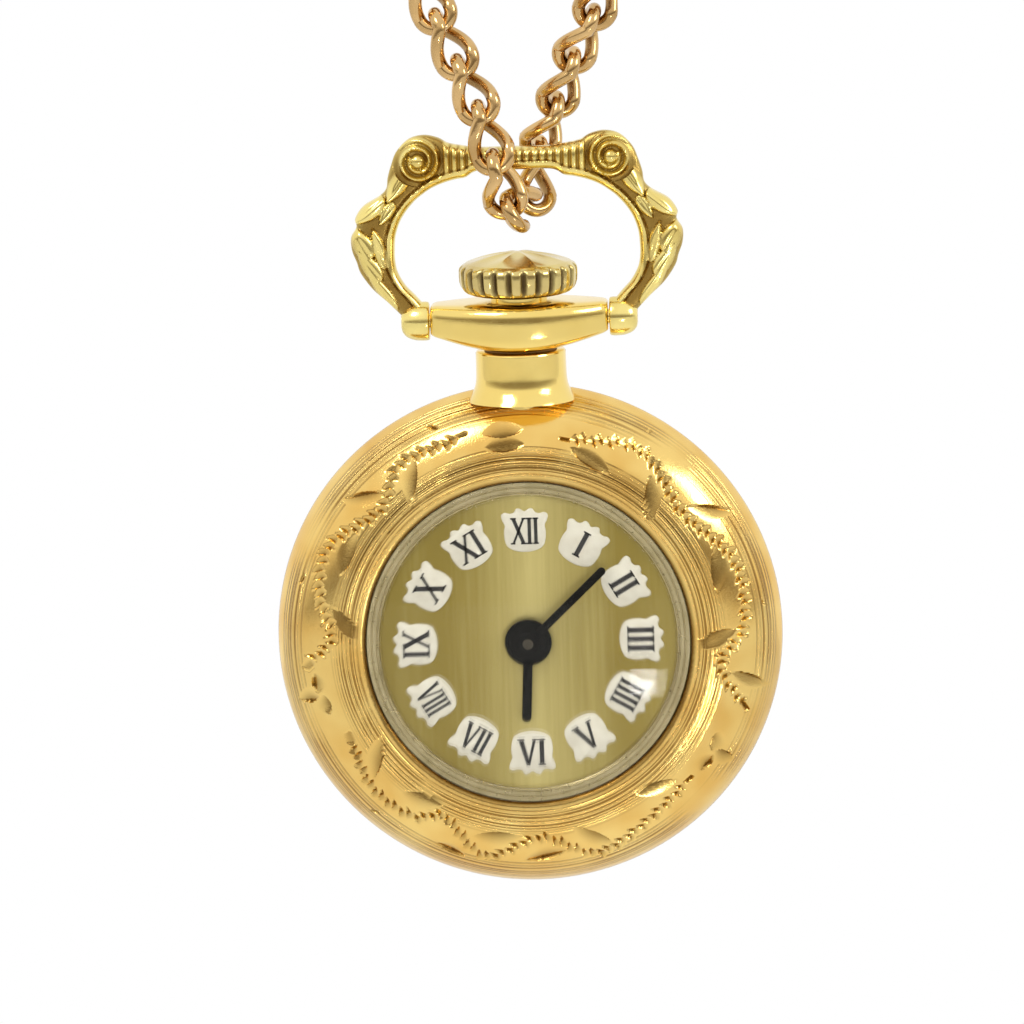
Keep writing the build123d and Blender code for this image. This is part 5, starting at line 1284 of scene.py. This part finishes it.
@dataclass
class Chain:
    """The chain: twisted links of round wire, each hooked square into the loop before it.

    Each length is a node's name, with the first of its links and the first beyond them.
    """

    wire: float = 0.36
    half_width: float = 0.88
    play: float = 0.1
    twist: float = 90.0
    ring_radius: float = 1.35
    places: tuple[tuple[float, float, float], ...] = (
        (-4.7, 0.0, 0.0), (-3.95, -0.35, -1.60), (-2.85, -0.85, -4.00), (-1.80, -1.35, -6.40),
        (-1.05, -1.95, -8.95), (-0.50, -1.50, -11.45), (0.30, 0.95, -12.00), (1.10, 2.10, -9.70),
        (2.00, 1.60, -7.30), (3.00, 1.10, -4.90), (4.10, 0.50, -2.55), (5.1, 0.0, 0.0),
    )
    lengths: tuple[tuple[str, int, int], ...] = (
        ("chain_left_leg", 0, 4), ("chain_bight", 4, 7), ("chain_right_leg", 7, 11),
    )
    right_links: int = 4
    settling_rounds: int = 40

    def laid(self, extra: float) -> list[tuple[Array, Array, Array, float]]:
        """Lays the links: each near loop settles on the far loop before it.

        Args:
            extra: the twist that each link of the right leg has beside its own.

        Returns:
            Each link's near and far centres, its near sideways direction and its twist.
        """
        ring_normal = np.array([0.0, 1.0, 0.0])
        hook = self.half_width - 2 * self.wire - self.play
        start, reach, normal, links = np.array(self.places[0]), hook, ring_normal, []
        last = len(self.places) - 1
        for number in range(1, last + 1):
            target = np.array(self.places[number])
            near, far = start, target
            for _ in range(self.settling_rounds):
                along = (far - near) / np.linalg.norm(far - near)
                near = start + flattened(along, normal) * reach
                if number == last:
                    far = target - flattened(along, ring_normal) * hook
            sideways = flattened(normal, along)
            twist = self.twist + (extra if number > last - 1 - self.right_links else 0)
            if number == last:
                wanted = flattened(ring_normal, along)
                twist = math.degrees(math.atan2(np.cross(sideways, wanted) @ along,
                                                sideways @ wanted)) % 180
            links.append((near, far, sideways, twist))
            start, reach = far, self.half_width + hook
            normal = np.cross(along, spun(sideways, along, twist))
        return links

    def link(self, form: Form, near: Array, far: Array, sideways: Array, twist: float) -> None:
        """A link: two half circles joined by straight sides, whose plane turns from end to end."""
        along = (far - near) / np.linalg.norm(far - near)
        bend = np.radians(np.linspace(-90, 90, 25))[:, None]
        share = np.linspace(0, 1, 12)[1:-1]
        step = (far - near) * share[:, None]
        line = np.vstack([
            far + self.half_width * (along * np.cos(bend)
                                     + spun(sideways, along, twist) * np.sin(bend)),
            far - step + self.half_width * spun(sideways, along, twist * (1 - share)),
            near - self.half_width * (along * np.cos(bend) + sideways * np.sin(bend)),
            near + step - self.half_width * spun(sideways, along, twist * share),
        ])
        run = np.roll(line, -1, 0) - np.roll(line, 1, 0)
        run /= np.linalg.norm(run, axis=1, keepdims=True)
        inward = (near + far) / 2 - line
        inward -= run * (inward * run).sum(1, keepdims=True)
        inward /= np.linalg.norm(inward, axis=1, keepdims=True)
        square = np.cross(run, inward)
        turn = np.linspace(0, 2 * math.pi, 16, endpoint=False)
        rings = line[:, None] + self.wire * (inward[:, None] * np.cos(turn)[:, None]
                                             + square[:, None] * np.sin(turn)[:, None])
        marks = np.zeros(rings.shape[:2] + (2,))
        # Painted shade on the inner side of each wire, where the links hook through each other.
        marks[..., 0] = np.clip(np.cos(turn) - 0.55, 0, 1) * 1.2
        form.grid(rings, wrap_rows=True, wrap_columns=True, marks=marks)

    def build(self) -> None:
        """The three lengths of the chain and the two end rings."""
        left_over = self.laid(0.0)[-1][3] - self.twist
        links = self.laid(left_over / (self.right_links + 1))
        for name, first, beyond in self.lengths:
            form = Form()
            for link in links[first:beyond]:
                self.link(form, *link)
            form.trim(name)
            form.piece(name.replace("chain", "links"), ROSE, "chain", (name,), "rose_gold", 70.0)
        form = Form()
        for place, (near, far, _, _), way in ((self.places[0], links[0], -1),
                                              (self.places[-1], links[-1], 1)):
            outward = flattened((far - near) * way, np.array([0.0, 1.0, 0.0]))
            centre = np.array(place) + outward * self.ring_radius
            turn = np.linspace(0, 2 * math.pi, 48, endpoint=False)[:, None, None]
            section = np.linspace(0, 2 * math.pi, 16, endpoint=False)[None, :, None]
            spoke = np.cos(turn) * np.array([1.0, 0, 0]) + np.sin(turn) * np.array([0, 0, 1.0])
            rings = centre + spoke * (self.ring_radius + self.wire * np.cos(section)) \
                + np.array([0, 1.0, 0]) * self.wire * np.sin(section)
            form.grid(rings, wrap_rows=True, wrap_columns=True)
        form.trim("chain_end_rings")
        form.piece("end_rings", ROSE, "end_rings", ("chain_end_rings",), "rose_gold", 70.0)


# The movement, the studio and the camera


@dataclass
class Movement:
    """The finishes of the pieces that stay as they were packed."""

    finishes: tuple[tuple[Finish, tuple[str, ...]], ...] = (
        (YELLOW, ("bow_pins",)),
        (NICKEL, ("main_plate", "barrel_bridge", "train_bridge", "balance_cock", "pallet_cock",
                  "setting_bridge")),
        (RING_BRASS, ("movement_ring",)),
        (GILT, ("barrel", "barrel_cover", "third_wheel", "fourth_wheel",
                "balance_wheel", "minute_wheel", "hour_wheel", "shock_setting")),
        (STEEL, ("barrel_arbor", "mainspring", "ratchet_wheel", "crown_wheel", "click",
                 "click_spring", "escape_wheel", "pallet_fork", "hairspring", "regulator",
                 "cannon_pinion", "setting_wheel", "winding_stem", "winding_pinion", "clutch",
                 "setting_lever", "clutch_lever")),
        (STAKED_GILT, ("centre_wheel",)),
        (SCREW_STEEL, ("bridge_screws", "ratchet_screw", "crown_wheel_screw", "click_screw")),
        (Ruby(), ("plate_jewels", "bridge_jewels")),
    )

    def dress(self, nodes: dict[str, bpy.types.Object]) -> None:
        """Gives each node its finish."""
        for finish, names in self.finishes:
            for name in names:
                mesh = nodes[name].data
                mesh.materials.clear()
                mesh.materials.append(finish.material())
                LOG.info("%s: %s", name, finish.name)


@dataclass
class Studio:
    """A white backdrop far behind, a pale floor far below, a soft sky and soft lamps.

    Each lamp is a name, a place from the case, a size and a power in watts.
    """

    reach: float = 6000.0
    floor_z: float = -430.0
    backdrop_y: float = 1200.0
    backdrop_top: float = 1500.0
    lamps: tuple[tuple[str, tuple[float, float, float], float, float], ...] = (
        ("key_lamp", (-200, -260, 380), 160, 0.75),
        ("fill_lamp", (340, -160, 200), 140, 0.40),
        ("spark_lamp", (125, -405, -130), 34, 0.12),
    )

    def sheet(self, name: str, corners: Sequence[Sequence[float]], glowing: bool) -> None:
        """A pale sheet of the studio.

        Args:
            name: its name.
            corners: its four corners in millimetres.
            glowing: whether it is plain white where it is seen, in metal and glass too.
        """
        mesh = bpy.data.meshes.new(name)
        mesh.from_pydata((np.array(corners, float) * MM).tolist(), [], [(0, 1, 2, 3)])
        made = bpy.data.materials.new(f"{name}_white")
        made.use_nodes = True
        nodes = Nodes(made.node_tree)
        shader = nodes.add("ShaderNodeBsdfPrincipled", None, Base_Color=rgba((0.9, 0.9, 0.9)),
                           Roughness=0.9)
        if glowing:
            path = nodes.add("ShaderNodeLightPath")
            seen = sum((Value(nodes, path.outputs[f"Is {way} Ray"])
                        for way in ("Camera", "Glossy", "Transmission")), 0.0).clamped()
            glow = nodes.add("ShaderNodeEmission", None, Color=rgba((1, 1, 1)), Strength=1.0)
            shader = nodes.add("ShaderNodeMixShader", None, i0=seen, i1=shader.outputs[0],
                               i2=glow.outputs[0])
        nodes.add("ShaderNodeOutputMaterial", None, Surface=shader.outputs[0])
        mesh.materials.append(made)
        thing = bpy.data.objects.new(name, mesh)
        bpy.context.scene.collection.objects.link(thing)

    def surround(self) -> None:
        """The world: a soft sky that is white above and dims to the floor and to the front.

        The share of the ramp grows with the height of the direction, and falls a little towards
        the front, where the room lies behind the lamps.
        """
        world = bpy.data.worlds.new("surround")
        world.use_nodes = True
        bpy.context.scene.world = world
        nodes = Nodes(world.node_tree)
        split = nodes.add("ShaderNodeSeparateXYZ", None,
                          i0=nodes.add("ShaderNodeTexCoord").outputs["Generated"])
        _, ahead, up = (Value(nodes, split.outputs[n]) for n in range(3))
        height = (up * 0.5 + ahead * 0.14 + 0.5).clamped()
        ramp = nodes.add("ShaderNodeValToRGB", {"stops": (
            (0.0, (0.80, 0.77, 0.72, 1)), (1.0, (1.0, 1.0, 1.0, 1)), (0.30, (0.20, 0.17, 0.14, 1)),
            (0.45, (0.34, 0.31, 0.27, 1)), (0.55, (1.0, 0.99, 0.97, 1)))}, i0=height)
        light = nodes.add("ShaderNodeBackground", None, Color=ramp.outputs[0], Strength=1.0)
        nodes.add("ShaderNodeOutputWorld", None, Surface=light.outputs[0])

    def lamp(self, name: str, place: Sequence[float], size: float, power: float) -> None:
        """A square lamp that faces the case."""
        light = bpy.data.lights.new(name, "AREA")
        light.shape, light.size, light.energy = "SQUARE", size * MM, power
        thing = bpy.data.objects.new(name, light)
        case = np.array([0.0, 0.0, CASE_Z])
        bpy.context.scene.collection.objects.link(thing)
        thing.matrix_world = facing_matrix(case + place, case, 0.0)

    def build(self) -> None:
        """The floor, the backdrop, the surround and the lamps."""
        reach, low, high, y = self.reach, self.floor_z, self.backdrop_top, self.backdrop_y
        self.sheet("floor", ((-reach, -reach, low), (reach, -reach, low), (reach, y, low),
                             (-reach, y, low)), False)
        self.sheet("backdrop", ((-reach, y, low), (reach, y, low), (reach, y, high),
                                (-reach, y, high)), True)
        self.surround()
        for lamp in self.lamps:
            self.lamp(*lamp)


def facing_matrix(eye: Array, target: Array, roll: float) -> Matrix:
    """The matrix of a thing at an eye that looks along its own -Z at a target, in metres.

    Args:
        eye: its place in millimetres.
        target: what it looks at, in millimetres.
        roll: the turn about its line of sight, in degrees, anticlockwise as it sees.

    Returns:
        A matrix for an object.
    """
    back = Vector((eye - target).tolist()).normalized()
    right = Vector((0, 0, 1)).cross(back).normalized()
    up = back.cross(right)
    turn = Matrix.Rotation(math.radians(roll), 3, "Z")
    basis = Matrix((right, up, back)).transposed() @ turn
    made = basis.to_4x4()
    made.translation = Vector((eye * MM).tolist())
    return made


@dataclass
class Camera:
    """A long lens a little above the dial, turned a little about its line of sight.

    The scale is in pixels to the millimetre, and the centre is where the picture has the case's.
    """

    distance: float = 420.0
    elevation: float = 9.5
    azimuth: float = 2.5
    roll: float = -1.9
    scale: float = 18.7
    centre: tuple[float, float] = (530.0, 634.0)
    picture: float = 1024.0
    sensor: float = 36.0

    def build(self) -> None:
        """The camera, placed so that the middle of the case falls where the picture has it."""
        lens = bpy.data.cameras.new("camera")
        lens.sensor_width = self.sensor
        lens.lens = self.scale * self.distance * self.sensor / self.picture
        lens.clip_start, lens.clip_end = 0.01, 20.0
        lift, turn = math.radians(self.elevation), math.radians(self.azimuth)
        back = np.array([math.sin(turn) * math.cos(lift), -math.cos(turn) * math.cos(lift),
                         math.sin(lift)])
        target = np.array([0.0, 0.0, CASE_Z])
        placed = facing_matrix(target + back * self.distance, target, self.roll)
        right, up = np.array(placed.col[0][:3]), np.array(placed.col[1][:3])
        across, down = (np.array(self.centre) - self.picture / 2) / self.scale
        slide = up * down - right * across
        placed.translation = ((target + back * self.distance + slide) * MM).tolist()
        thing = bpy.data.objects.new("camera", lens)
        thing.matrix_world = placed
        bpy.context.scene.collection.objects.link(thing)
        bpy.context.scene.camera = thing


def main() -> None:
    """Loads the frame, builds every piece over it, and lights and frames the picture."""
    logging.basicConfig(level=logging.INFO, format="%(name)s %(message)s")
    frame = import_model()
    for thing in list(bpy.context.scene.objects):
        if thing.type in {"CAMERA", "LIGHT"} or thing.name == "Cube":
            bpy.data.objects.remove(thing)
    Movement().dress(frame["nodes"])
    for part in (Case(), Yoke(), DialSide(), Crown(), Bow(), Chain(), Studio(), Camera()):
        part.build()
    bpy.context.scene.view_settings.view_transform = "Standard"


if __name__ == "__main__":
    main()
